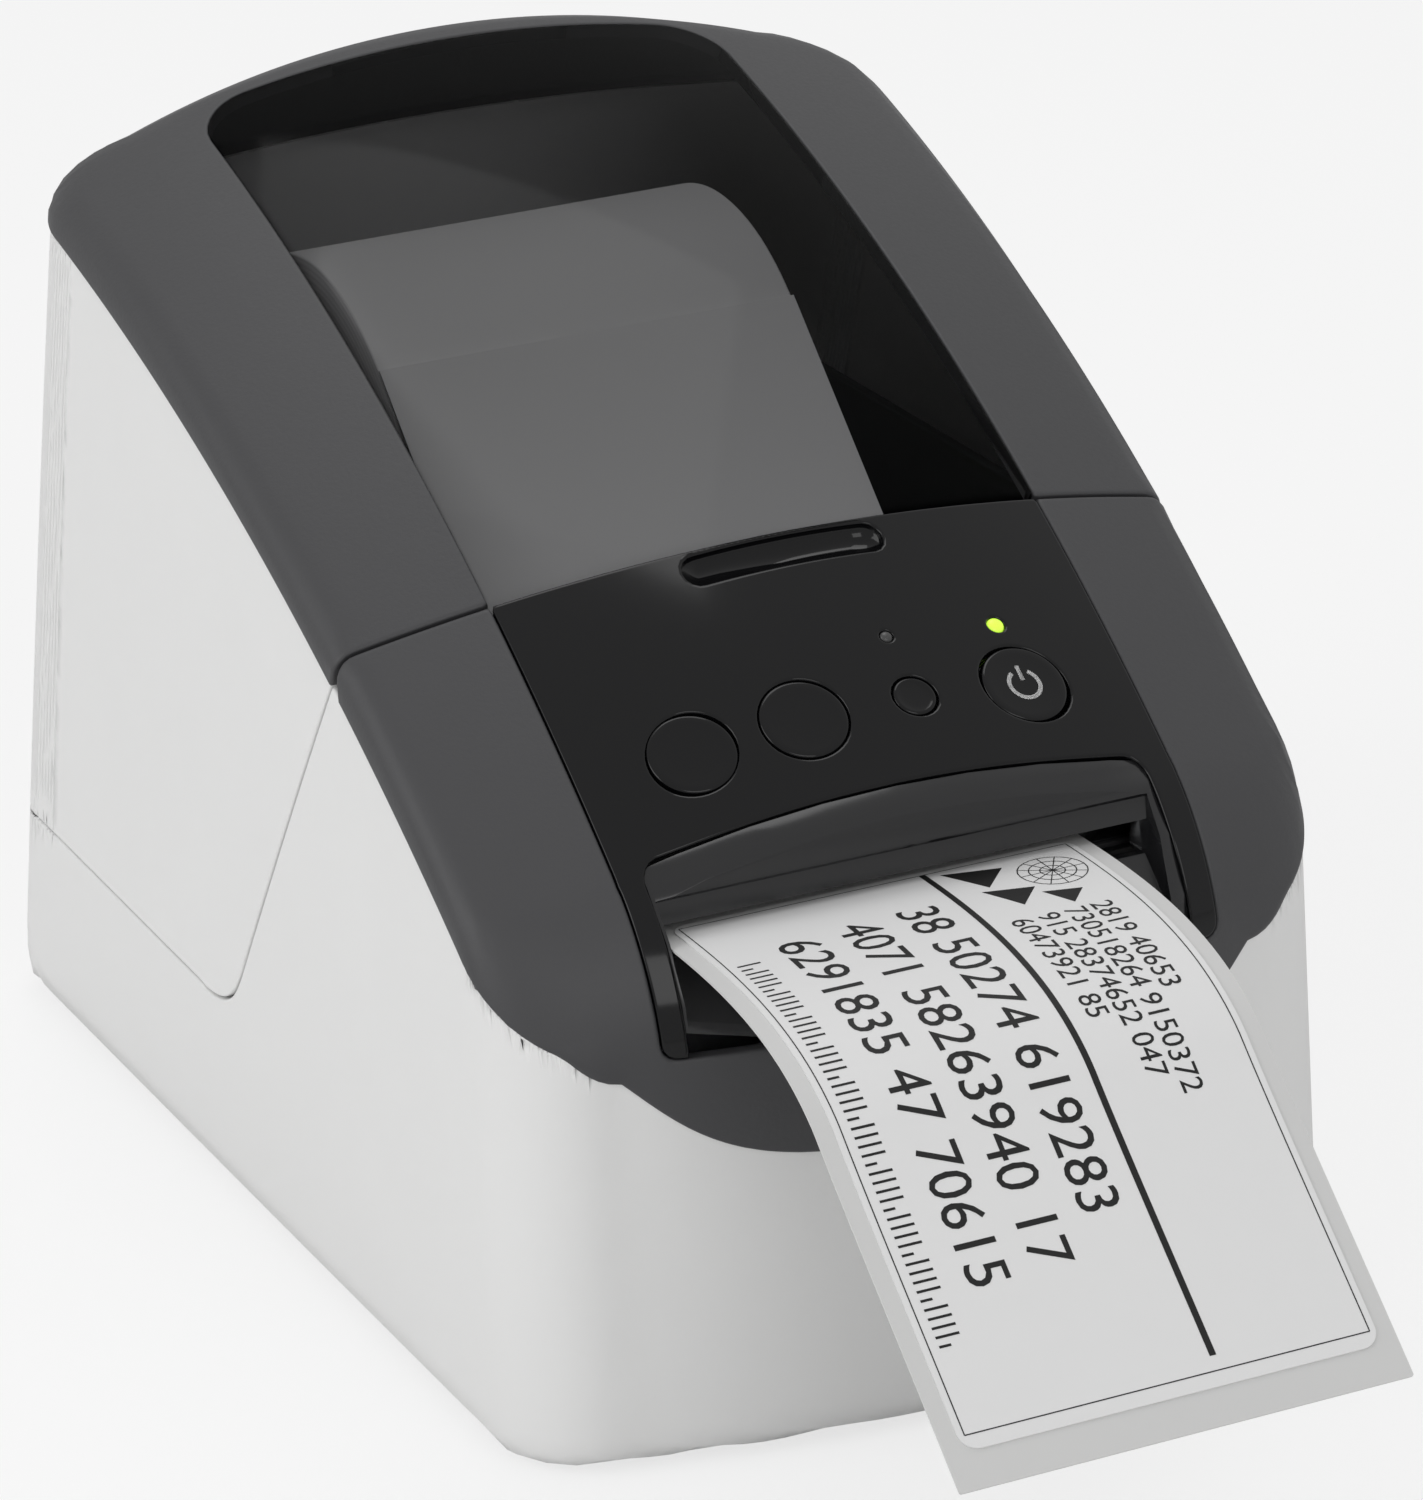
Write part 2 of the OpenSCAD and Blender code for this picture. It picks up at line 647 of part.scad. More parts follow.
// Two hooks under the cover's front edge
latch_x = 51.5;
latch_t = 3;
latch_l = 7;
latch_h = 9;
module cover_latches() color(charcoal) for (s = [-1, 1]) {
    top = top_z(latch_x, -seam_y + latch_l) - skin * slope_share * 1.35;
    across(s * latch_x - latch_t / 2, s * latch_x + latch_t / 2) polygon([
        [-seam_y + latch_l * 1.1, top], [-seam_y + latch_l * 1.1, top - latch_h],
        [-seam_y + latch_l * 0.5, top - latch_h * 1.4], [-seam_y + latch_l * 0.35, top - latch_h * 1.2],
        [-seam_y + latch_l * 0.7, top - latch_h], [-seam_y + latch_l * 0.7, top - latch_l * 0.35]
    ]);
}

module hinge_pins() color(steel) for (s = [-1, 1]) {
    x0 = s > 0 ? knuckle_x - knuckle_t / 2 : -ear_x - ear_t / 2;
    rod(x0, x0 + ear_t + knuckle_t + air_gap, hinge_pin_r, hinge_y, hinge_z);
}

// Spool with end discs and stub axles, and the roll wound on it
disc_t = 2;
stub_r = 4;
stub_l = 7;
tube_t = 1.8;
module roll_spool() color(grey) difference() {
    union() {
        rod(tape_l - air_gap - disc_t - stub_l, tape_r + air_gap + disc_t + stub_l, stub_r, roll_y, roll_z);
        rod(tape_l - air_gap - disc_t, tape_r + air_gap + disc_t, core_r - fit_gap, roll_y, roll_z);
        rod(tape_l - air_gap - disc_t, tape_l - air_gap, flange_r, roll_y, roll_z);
        rod(tape_r + air_gap, tape_r + air_gap + disc_t, flange_r, roll_y, roll_z);
    }
    rod(-far, far, stub_r - tube_t, roll_y, roll_z);
    for (a = [0:60:300]) translate([0, roll_y, roll_z]) rotate([a, 0, 0])
        rod(-far, far, tube_t * 1.2, (flange_r + core_r) / 2, 0);
}
module label_roll() color(paper) difference() {
    rod(tape_l, tape_r, roll_r, roll_y, roll_z);
    rod(tape_l - over, tape_r + over, core_r, roll_y, roll_z);
}

// Trough under the roll, with end cheeks and legs
tub_r = 41;
tub_t = 2;
tub_inset = 5;
tub_half_w = foot_half_w - tub_inset;
leg_x = tub_half_w - tub_t * 4;
module trough_2d(r) intersection() {
    translate([roll_y, roll_z]) circle(r, $fn = 96);
    translate([roll_y - r, roll_z - r]) square([2 * r, r * 0.9]);
}
module roll_tub() color(grey) {
    across(-tub_half_w, tub_half_w) difference() {
        trough_2d(tub_r + tub_t);
        translate([roll_y, roll_z]) circle(tub_r, $fn = 96);
    }
    for (s = [-1, 1]) {
        across(s * tub_half_w - tub_t / 2, s * tub_half_w + tub_t / 2) trough_2d(tub_r + tub_t);
        across(s * leg_x - tub_t, s * leg_x + tub_t) difference() {
            translate([roll_y - tub_r * 0.75, deck_z + fit_gap]) square([tub_t * 3, roll_z - tub_r - deck_z + tub_r * 0.25]);
            translate([roll_y, roll_z]) circle(tub_r + tub_t / 2, $fn = 96);
        }
        across(s * leg_x - tub_t, s * leg_x + tub_t) difference() {
            translate([roll_y + tub_r * 0.75 - tub_t * 3, deck_z + fit_gap])
                square([tub_t * 3, roll_z - tub_r - deck_z + tub_r * 0.25]);
            translate([roll_y, roll_z]) circle(tub_r + tub_t / 2, $fn = 96);
        }
    }
}

// Forked arms that take the spool's stubs
guide_t = 3;
module spool_guide(x) across(x - guide_t / 2, x + guide_t / 2) difference() {
    intersection() {
        translate([roll_y, roll_z]) circle(tub_r - fit_gap, $fn = 96);
        polygon([
            [roll_y - tub_r * 0.45, roll_z - tub_r], [roll_y - stub_r * 2, roll_z],
            [roll_y - stub_r * 2.2, roll_z + stub_r * 2], [roll_y + stub_r * 2.2, roll_z + stub_r * 2],
            [roll_y + stub_r * 2, roll_z], [roll_y + tub_r * 0.45, roll_z - tub_r]
        ]);
    }
    translate([roll_y, roll_z]) circle(stub_r + slide_gap);
    translate([roll_y - stub_r - slide_gap, roll_z]) square([2 * (stub_r + slide_gap), tub_r]);
    translate([roll_y, roll_z - tub_r * 0.55]) circle(tub_r * 0.16);
}
module spool_guide_left() color(grey) spool_guide(tape_l - air_gap - disc_t - stub_l * 0.6);
module spool_guide_right() color(grey) spool_guide(tape_r + air_gap + disc_t + stub_l * 0.6);

// The tape in side view: from the top of the roll to the cutter, then out of the slot and down
wrap_angle = 133.5;
exit_gap = 1.4;
label_reach = 89.6;
label_fall = 42;
tape_start = [roll_y, roll_z] + (roll_r + liner_t + bore_gap) * [cos(wrap_angle), sin(wrap_angle)];
nip_in = [-platen_y + platen_r * 1.4, tape_z + liner_t * 3];
tape_path = concat([tape_start], bezier(
    nip_in + (tape_start - nip_in) * 0.06, nip_in, [-platen_y + platen_r * 0.8, tape_z],
    [-platen_y + platen_r * 0.3, tape_z], 5
), [[-cut_y + exit_gap, tape_z]]);
reach_shares = [0, 0.24, 0.46, 0.592, 0.69, 0.86, 1];
fall_shares = [0, 0.015, 0.015, -0.226, -0.43, -0.73, -1];
function label_at(k) = [-cut_y - exit_gap - label_reach * reach_shares[k], tape_z + label_fall * fall_shares[k]];
label_path = concat(
    bezier(label_at(0), label_at(1), label_at(2), label_at(3), 10),
    [for (k = [1:10]) bezier(label_at(3), label_at(4), label_at(5), label_at(6), 10)[k]]
);

// A strip along a path between two offsets from it
function path_dir(p, k) = let (v = p[min(k + 1, len(p) - 1)] - p[max(k - 1, 0)]) v / norm(v);
function shifted(p, o) = [for (k = [0:len(p) - 1]) let (d = path_dir(p, k)) p[k] + o * [d[1], -d[0]]];
function backwards(p) = [for (k = [len(p) - 1:-1:0]) p[k]];
module strip(p, lo, hi) polygon(concat(shifted(p, lo), backwards(shifted(p, hi))));

label_margin = 2.4;
label_corner_r = 2.5;
label_start = 94;
label_end_share = 0.975;
module label_tape() color(paper) across(tape_l, tape_r) strip(tape_path, -liner_t / 2, liner_t / 2 + label_t);
module cut_liner() color(grey) across(tape_l, tape_r) strip(label_path, -liner_t / 2, liner_t / 2);
module printed_label() color(paper) intersection() {
    across(-far, far) strip(label_path, liner_t / 2, liner_t / 2 + label_t);
    translate([-tape_x, 0, 0]) linear_extrude(sky_z) pad(
        tape_w - 2 * label_margin, -cut_y - label_reach * label_end_share, -label_start, label_corner_r
    );
}

// Involute gear outline centred on the origin, one tooth on the first axis
press_angle = 20;
lash = 0.06;
flank_shares = [0, 0.3, 0.65, 1];
function involute(rb, r) = let (a = acos(min(rb / r, 1))) tan(a) * 180 / PI - a;
function tooth_half(n, r) =
    let (rp = n * gear_m / 2, rb = rp * cos(press_angle))
    90 / n - lash * 90 / PI / rp + involute(rb, rp) - involute(rb, max(r, rb));
function gear_points(n) =
    let (ro = n * gear_m / 2 + gear_m * 0.95, ri = n * gear_m / 2 - gear_m * 1.2)
    [
        for (t = [0:n - 1]) each concat(
            [for (s = flank_shares) let (r = ri + (ro - ri) * s, a = 360 * t / n - tooth_half(n, r)) r * [cos(a), sin(a)]],
            [for (k = [3:-1:0]) let (r = ri + (ro - ri) * flank_shares[k], a = 360 * t / n + tooth_half(n, r)) r * [cos(a), sin(a)]]
        )
    ];

// Gear axes: platen, idler, motor
idler_angle = -65.4;
motor_angle = -27.9;
platen_at = [-platen_y, platen_z];
idler_at = platen_at + gear_m * (platen_teeth + idler_teeth) / 2 * [cos(idler_angle), sin(idler_angle)];
motor_at = idler_at + gear_m * (pinion_teeth + idler_teeth) / 2 * [cos(motor_angle), sin(motor_angle)];
idler_turn = idler_angle + 180 + 180 / idler_teeth;
pinion_turn = motor_angle + 180 + 180 / pinion_teeth - (idler_turn - motor_angle) * idler_teeth / pinion_teeth;
gear_gap = 2.3;
gear_x = -frame_half_w - gear_gap;
motor_shaft_r = 1.5;
axle_r = 2;
hub_step = 0.6;
web_share = 0.62;

module gear(n, at, turn, bore) difference() {
    union() {
        across(gear_x - gear_w, gear_x) translate(at) rotate(turn) polygon(gear_points(n));
        rod(gear_x - gear_w, gear_x + hub_step, bore + gear_m * 1.8, at[0], at[1]);
    }
    rod(-far, far, bore, at[0], at[1]);
    if (n > platen_teeth - 1) for (a = [0:60:300]) translate([0, at[0], at[1]]) rotate([a, 0, 0])
        rod(-far, far, n * gear_m * 0.07, n * gear_m / 2 * web_share, 0);
}
module platen_gear() color(nylon) gear(platen_teeth, platen_at, idler_angle, shaft_r + bore_gap / 2);
module idler_gear() color(nylon) gear(idler_teeth, idler_at, idler_turn, axle_r + bore_gap);
module motor_pinion() color(steel) {
    gear(pinion_teeth, motor_at, pinion_turn, motor_shaft_r - bore_gap);
    rod(gear_x - gear_w, -frame_half_w + frame_t + motor_r / 2, motor_shaft_r, motor_at[0], motor_at[1]);
}
module idler_axle() color(steel) {
    rod(gear_x - gear_w - hub_step, -frame_half_w + frame_t, axle_r, idler_at[0], idler_at[1]);
    rod(gear_x - gear_w - hub_step * 2, gear_x - gear_w - air_gap, axle_r * 1.6, idler_at[0], idler_at[1]);
}

platen_over = 1;
bush_r = 4.4;
bush_flange = 1;
module platen_roller() color(rubber) difference() {
    rod(tape_l - platen_over, tape_r + platen_over, platen_r, platen_at[0], platen_at[1]);
    rod(-far, far, shaft_r + bore_gap / 2, platen_at[0], platen_at[1]);
}
module platen_shaft() color(steel) rod(gear_x - gear_w - platen_over, frame_half_w + frame_t, shaft_r, platen_at[0], platen_at[1]);
module platen_bushes() color(nylon) for (s = [-1, 1]) difference() {
    union() {
        rod(s * (frame_half_w - frame_t / 2) - frame_t / 2, s * (frame_half_w - frame_t / 2) + frame_t / 2, bush_r, platen_at[0], platen_at[1]);
        rod(
            s * (frame_half_w - frame_t - bush_flange / 2) - bush_flange / 2,
            s * (frame_half_w - frame_t - bush_flange / 2) + bush_flange / 2, bush_r + bush_flange, platen_at[0], platen_at[1]
        );
    }
    rod(-far, far, shaft_r + bore_gap, platen_at[0], platen_at[1]);
}

// Side plates that hold the platen, the head pivot, the cutter and the motor
head_pivot_r = 2;
head_back = 8;
head_rise = 9.5;
head_pivot_at = [-platen_y + head_back, tape_z + head_rise];
plate_lead = 4;
plate_foot_l = 52;
plate_waist_l = 20;
plate_top_l = 16;
plate_top_h = 16;
frame_front_y = -cut_y - plate_lead;
module side_plate(s) across(s * (frame_half_w - frame_t / 2) - frame_t / 2, s * (frame_half_w - frame_t / 2) + frame_t / 2)
    difference() {
        polygon([
            [-cut_y + over, deck_z], [-platen_y + plate_foot_l, deck_z], [-platen_y + plate_foot_l, roll_z / 3],
            [-platen_y + plate_waist_l, platen_z], [-platen_y + plate_top_l, tape_z + plate_top_h],
            [-platen_y + frame_t, tape_z + plate_top_h - frame_t], [frame_front_y + head_rise, tape_z + head_rise],
            [frame_front_y, tape_z], [frame_front_y, roll_z / 3]
        ]);
        translate(platen_at) circle(bush_r + bore_gap);
        translate(head_pivot_at) circle(head_pivot_r + bore_gap);
        translate(s < 0 ? motor_at : idler_at) circle(s < 0 ? motor_shaft_r * 2 : axle_r * 4);
        if (s < 0) translate(idler_at) circle(axle_r + bore_gap);
    }
module side_frame_left() color(steel) side_plate(-1);
module side_frame_right() color(steel) side_plate(1);

bridge_half_w = frame_half_w - frame_t;
bridge_rise = 13.8;
bridge_top_z = tape_z + bridge_rise;
bridge_l = 12.5;
module frame_bridge() color(steel) {
    block(
        [-bridge_half_w, -platen_y + over * 1.5, bridge_top_z], [bridge_half_w, -platen_y + over * 1.5 + bridge_l, bridge_top_z + frame_t]
    );
    block(
        [-bridge_half_w, frame_front_y + over, roll_z / 3], [bridge_half_w, frame_front_y + over + frame_t, platen_z - platen_r - over]
    );
}

// Print head on its pivot rod, turned by a spring round the rod
head_z = tape_z + liner_t / 2 + label_t + air_gap;
head_l = 4.4;
head_crown = 0.8;
head_arm_x = 33;
arm_t = 3;
module print_head() color(grey) {
    across(tape_l - platen_over / 2, tape_r + platen_over / 2) polygon([
        [-platen_y - head_l, head_z + head_crown], [-platen_y, head_z], [-platen_y + head_l, head_z + head_crown],
        [-platen_y + head_l * 1.2, head_z + head_l * 1.3], [-platen_y - head_l, head_z + head_l]
    ]);
    for (x = [tape_l - platen_over / 2, tape_r + platen_over / 2 - arm_t]) across(x, x + arm_t) difference() {
        union() {
            translate(head_pivot_at) circle(head_pivot_r * 1.8);
            polygon([
                [-platen_y - head_l, head_z + head_l * 0.8], [-platen_y + head_l, head_z + head_l * 0.4],
                head_pivot_at + [0, -head_pivot_r * 1.5], head_pivot_at + [0, head_pivot_r * 1.5],
                [-platen_y - head_l, head_z + head_l * 1.2]
            ]);
        }
        translate(head_pivot_at) circle(head_pivot_r + bore_gap);
    }
}
module head_pivot() color(steel) rod(-frame_half_w, frame_half_w, head_pivot_r, head_pivot_at[0], head_pivot_at[1]);

// A round wire swept along points with a side direction at each
wire_sides = 8;
coil_turns = 5;
coil_steps = 14;
coil_r = 3.1;
wire_r = 0.4;
coil_w = 6;
module wire(path, side, r) {
    n = len(path);
    points = [
        for (k = [0:n - 1]) let (v = path[min(k + 1, n - 1)] - path[max(k - 1, 0)], w = cross(v / norm(v), side[k]))
            for (t = [0:wire_sides - 1]) path[k] + r * (cos(360 * t / wire_sides) * side[k] + sin(360 * t / wire_sides) * w)
    ];
    tube = [
        for (k = [0:n - 2]) for (t = [0:wire_sides - 1])
            let (a = k * wire_sides + t, b = k * wire_sides + (t + 1) % wire_sides)
            each [[a, b, b + wire_sides], [a, b + wire_sides, a + wire_sides]]
    ];
    ends = [[for (t = [wire_sides - 1:-1:0]) t], [for (t = [0:wire_sides - 1]) (n - 1) * wire_sides + t]];
    polyhedron(points = points, faces = concat(tube, ends), convexity = 6);
}
module head_spring() color(steel) translate([-head_arm_x / 3, head_pivot_at[0], head_pivot_at[1]]) {
    total = coil_turns * coil_steps;
    turn = [for (k = [0:total]) [coil_w * k / total, coil_r * cos(360 * k / coil_steps), coil_r * sin(360 * k / coil_steps)]];
    out = [for (k = [0:total]) [0, cos(360 * k / coil_steps), sin(360 * k / coil_steps)]];
    first = turn[0] - [0, 0, coil_r];
    last = turn[total] + [0, 0, coil_r];
    wire(concat([first], turn, [last]), concat([out[0]], out, [out[total]]), wire_r);
}

// Guillotine: fixed lower blade, sliding upper blade, guides and crank
blade_t = 0.8;
blade_gap = 0.4;
blade_over = 4.2;
crank_inset = 8;
blade_end_l = tape_l - blade_over;
blade_end_r = frame_half_w - crank_inset - over;
blade_step = 0.35;
fixed_top_z = tape_z - liner_t / 2 - blade_step;
fixed_t = 1;
fixed_h = 9.5;
moving_rise = 1.3;
moving_z = tape_z + moving_rise;
blade_shear = 1.6;
moving_h = 6.4;
moving_y = -cut_y + blade_gap;
crank_rise = 2;
crank_x = frame_half_w - crank_inset;
crank_z = tape_z + crank_rise;
crank_disc_r = 5;
crank_pin_r = 1.2;
crank_t = 2;
pin_gap = 0.25;
open_angle = 45;
guide_y = frame_front_y + frame_t + air_gap / 3;
guide_step = 3;
module fixed_blade() color(steel)
    block([blade_end_l, -cut_y - fixed_t, fixed_top_z - fixed_h], [blade_end_r, -cut_y, fixed_top_z]);
module moving_blade() color(steel) difference() {
    along(moving_y, moving_y + blade_t) polygon([
        [blade_end_l, moving_z], [blade_end_r, moving_z + blade_shear],
        [blade_end_r, moving_z + moving_h], [blade_end_l, moving_z + moving_h]
    ]);
    slot_x = crank_x - crank_r * (1 + cos(open_angle)) / 2;
    along(moving_y - over, moving_y + blade_t + over) translate([slot_x, crank_z + crank_r * sin(open_angle)]) {
        for (x = [-1, 1]) translate([x * crank_r / 7, 0]) circle(crank_pin_r + pin_gap);
        square([crank_r * 2 / 7, 2 * (crank_pin_r + pin_gap)], center = true);
    }
}
module cutter_guides() color(grey) {
    block([-bridge_half_w, guide_y, fixed_top_z - fixed_h - frame_t], [bridge_half_w, -cut_y - fixed_t, fixed_top_z - guide_step]);
    difference() {
        block([-bridge_half_w, guide_y, fixed_top_z - guide_step], [tape_l - fit_gap * 3, moving_y + blade_t * 3, moving_z + moving_h]);
        block([blade_end_l - slide_gap, -cut_y - fixed_t - fit_gap, 0], [0, moving_y + blade_t + fit_gap, sky_z]);
    }
    block([blade_end_r + fit_gap, guide_y, fixed_top_z - guide_step], [bridge_half_w, -cut_y - fixed_t, moving_z + moving_h]);
}
module cutter_crank() color(nylon) {
    y0 = moving_y + blade_t + air_gap;
    difference() {
        rod_y(y0, y0 + crank_t, crank_disc_r, crank_x, crank_z);
        rod_y(y0 + crank_t / 2, y0 + crank_t * 2, motor_shaft_r / 1.5 + bore_gap, crank_x, crank_z);
    }
    rod_y(moving_y - air_gap / 2, y0 + over, crank_pin_r, crank_x - crank_r * cos(open_angle), crank_z + crank_r * sin(open_angle));
}
cutter_motor_r = 5;
cutter_motor_l = 15;
module cutter_motor() color(steel) {
    y0 = moving_y + blade_t + air_gap * 2 + crank_t;
    rod_y(y0, y0 + cutter_motor_l, cutter_motor_r, crank_x, crank_z);
    rod_y(y0 - crank_t / 2, y0 + over, motor_shaft_r / 1.5, crank_x, crank_z);
    block([crank_x, y0 + crank_t, crank_z - frame_t], [bridge_half_w, y0 + cutter_motor_l - crank_t, crank_z + frame_t]);
}

motor_l = 30;
motor_step = 1.2;
module feed_motor() color(steel) difference() {
    union() {
        rod(-bridge_half_w, -bridge_half_w + motor_l, motor_r, motor_at[0], motor_at[1]);
        rod(-bridge_half_w + motor_l, -bridge_half_w + motor_l + motor_step, motor_r * 0.4, motor_at[0], motor_at[1]);
        block(
            [-bridge_half_w + motor_l / 3, motor_at[0], deck_z + fit_gap],
            [-bridge_half_w + motor_l * 0.8, motor_at[0] + motor_r / 2, motor_at[1]]
        );
    }
    rod(-far, -bridge_half_w + motor_r, motor_shaft_r + bore_gap, motor_at[0], motor_at[1]);
}

// Boards and supply under the roll
board_z = deck_z + post_h;
chip_h = 1.6;
cap_r = 4;
cap_h = 12;
plug_h = 7;
module main_board() color(board_green) translate([board_x, board_y, board_z]) {
    block([-board_half_w, -board_half_l, 0], [board_half_w, board_half_l, board_t]);
    translate([0, 0, board_t]) {
        block([-board_half_w * 0.4, -board_half_w * 0.3, 0], [board_half_w * 0.3, board_half_w * 0.4, chip_h]);
        block([-board_half_w * 0.8, board_half_w * 0.7, 0], [-board_half_w * 0.3, board_half_w, chip_h]);
        for (x = [0, 1]) translate([board_half_w * (0.3 + x * 0.4), -board_half_w * 0.8, 0]) cylinder(r = cap_r, h = cap_h);
        for (x = [-0.8, -0.2]) translate([x * board_half_w, -board_half_l * 0.92, 0]) cube([board_half_w * 0.45, plug_h, plug_h]);
    }
}
module power_supply() color(grey) difference() {
    block([psu_x - psu_half_w, psu_y - psu_half_l, deck_z], [psu_x + psu_half_w, psu_y + psu_half_l, deck_z + psu_h]);
    for (k = [0:8]) block(
        [psu_x - psu_half_w * 0.7, psu_y - psu_half_l * 0.8 + k * psu_half_l * 0.18, deck_z + psu_h - wall],
        [psu_x + psu_half_w * 0.7, psu_y - psu_half_l * 0.8 + k * psu_half_l * 0.18 + wall, sky_z]
    );
}

// Sockets at the back, cut to the slope of the wall
socket_front_y = 82;
socket_depth = 10;
socket_rim = 2;
socket_pin_r = 1.1;
socket_rear_y = 101;
module socket(x, z, w, h, r) difference() {
    intersection() {
        along(socket_front_y, far) translate([x, 0]) pad(w, z - h / 2, z + h / 2, r);
        walls(wall_step + slide_gap, 0);
    }
    along(socket_rear_y - socket_depth, far) translate([x, 0])
        pad(w - 2 * socket_rim, z - h / 2 + socket_rim, z + h / 2 - socket_rim, r);
}
module power_inlet() color(rubber) {
    socket(inlet_x, inlet_z, inlet_w, inlet_h, over);
    for (x = [-1, 1]) rod_y(socket_rear_y - socket_depth - over, socket_rear_y - socket_rim, socket_pin_r, inlet_x + x * inlet_w / 5, inlet_z);
}
module usb_port() color(steel) socket(usb_x, usb_z, usb_w, usb_h, over);

module rubber_feet() color(rubber)
    for (at = [[-foot_x, foot_front_y], [foot_x, foot_front_y], [-foot_x, foot_rear_y], [foot_x, foot_rear_y], [0, 0]])
        translate([at[0], at[1], 0]) cylinder(r = foot_r, h = foot_gap);

screw_head_h = 0.9;
screw_l = 6;
module base_screws() color(steel)
    for (x = [-screw_x, screw_x]) for (y = [screw_front_y, screw_rear_y]) translate([x, y, foot_gap + wall / 2]) {
        cylinder(r = screw_r, h = screw_l);
        translate([0, 0, -screw_head_h]) difference() {
            cylinder(r = screw_head_r, h = screw_head_h);
            for (a = [0, 90]) rotate([0, 0, a]) cube([screw_r * 2, screw_r * 0.5, screw_head_h], center = true);
        }
    }

lower_case();
base_pan();
front_bezel();
control_panel();
exit_chute();
feed_button();
cut_button();
mode_button();
power_button();
status_light();
mode_light();
button_board();
cover_shell();
cover_top();
cover_window();
cover_latches();
hinge_pins();
roll_spool();
label_roll();
spool_guide_left();
spool_guide_right();
roll_tub();
label_tape();
cut_liner();
printed_label();
platen_roller();
platen_shaft();
platen_gear();
platen_bushes();
idler_gear();
idler_axle();
feed_motor();
motor_pinion();
side_frame_left();
side_frame_right();
frame_bridge();
print_head();
head_pivot();
head_spring();
fixed_blade();
moving_blade();
cutter_guides();
cutter_crank();
cutter_motor();
main_board();
power_supply();
power_inlet();
usb_port();
rubber_feet();
base_screws();
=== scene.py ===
import json
import math

import bmesh
import bpy
import numpy as np
from mathutils import Euler, Matrix, Vector
from mathutils.geometry import delaunay_2d_cdt


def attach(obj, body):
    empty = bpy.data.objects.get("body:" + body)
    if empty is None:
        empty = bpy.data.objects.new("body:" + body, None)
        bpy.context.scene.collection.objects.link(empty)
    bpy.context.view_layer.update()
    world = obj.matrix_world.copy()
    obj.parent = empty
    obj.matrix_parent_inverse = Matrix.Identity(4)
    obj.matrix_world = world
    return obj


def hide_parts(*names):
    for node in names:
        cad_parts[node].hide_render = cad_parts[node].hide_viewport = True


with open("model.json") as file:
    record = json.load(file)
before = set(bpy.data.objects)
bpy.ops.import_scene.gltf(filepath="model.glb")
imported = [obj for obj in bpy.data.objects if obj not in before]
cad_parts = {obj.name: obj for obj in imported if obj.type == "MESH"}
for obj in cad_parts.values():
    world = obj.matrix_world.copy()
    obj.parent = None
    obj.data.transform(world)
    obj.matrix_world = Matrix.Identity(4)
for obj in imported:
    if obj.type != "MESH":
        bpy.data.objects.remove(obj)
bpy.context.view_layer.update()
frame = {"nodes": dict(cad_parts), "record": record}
nodes = frame["nodes"]
MM = 0.001

# The camera stands where the photographer stood, with a long lens, turned by a few degrees.
# It was worked out from the case's own edges, so the pieces fall on the photograph.
camera_data = bpy.data.cameras.new("photo_camera")
camera_data.sensor_fit = "AUTO"
camera_data.sensor_width = 36
camera_data.lens = 157.1
camera_data.clip_start = 0.05
camera_data.clip_end = 20
camera = bpy.data.objects.new("photo_camera", camera_data)
camera.location = (-0.33455, -0.80414, 0.38720)
camera.rotation_euler = Euler([math.radians(a) for a in (69.184, 2.932, -24.594)], "XYZ")
bpy.context.scene.collection.objects.link(camera)
bpy.context.scene.camera = camera


# A white studio: pale floor, white surroundings, one broad soft lamp over the left shoulder
# and two weaker ones. The class below turns Python expressions into shader nodes.
class Shade:
    """A socket of a node tree that can be used in arithmetic."""

    def __init__(self, tree, socket):
        self.tree = tree
        self.socket = socket

    @classmethod
    def start(cls, name):
        """An empty material and the tree that its nodes go into."""
        material = bpy.data.materials.new(name)
        material.use_nodes = True
        material.node_tree.nodes.clear()
        return material, cls(material.node_tree, None)

    def node(self, kind, settings=None, out=0, **sockets):
        """A new node of that kind; its settings come first, then its sockets."""
        made = self.tree.nodes.new(kind)
        for key, value in (settings or {}).items():
            if key == "stops":
                ramp = made.color_ramp
                while len(ramp.elements) < len(value):
                    ramp.elements.new(1)
                for stop, (place, level) in zip(ramp.elements, value):
                    stop.position = place
                    stop.color = level if isinstance(level, tuple) else (level, level, level, 1)
            else:
                setattr(made, key, value)
        for key, value in sockets.items():
            place = made.inputs[int(key[1:])] if key[0] == "_" else made.inputs[key.replace("_", " ")]
            if isinstance(value, Shade):
                self.tree.links.new(value.socket, place)
            else:
                place.default_value = value
        return Shade(self.tree, made.outputs[out]) if made.outputs else made

    def maths(self, operation, a, b=0.0):
        """One step of arithmetic on numbers or sockets."""
        return self.node("ShaderNodeMath", {"operation": operation}, _0=a, _1=b)

    def mix(self, share, first, second):
        """Two colours, as three numbers or a socket each, mixed by share."""
        first, second = (c if isinstance(c, Shade) else (*c, 1) for c in (first, second))
        return self.node("ShaderNodeMix", {"data_type": "RGBA"}, out=2, _0=share, _6=first, _7=second)

    def output(self, surface):
        """The finished shader goes to the material's output."""
        self.node("ShaderNodeOutputMaterial", Surface=surface)

    def principled(self, **sockets):
        """The usual surface, wired to the material's output."""
        self.output(self.node("ShaderNodeBsdfPrincipled", **sockets))

    def __add__(self, other):
        return self.maths("ADD", self, other)

    def __mul__(self, other):
        return self.maths("MULTIPLY", self, other)

    def __sub__(self, other):
        return self.maths("SUBTRACT", self, other)

    __radd__ = __add__
    __rmul__ = __mul__


def tinted(colour, by):
    """The colour made lighter or darker by that factor."""
    return tuple(min(1, c * by) for c in colour)


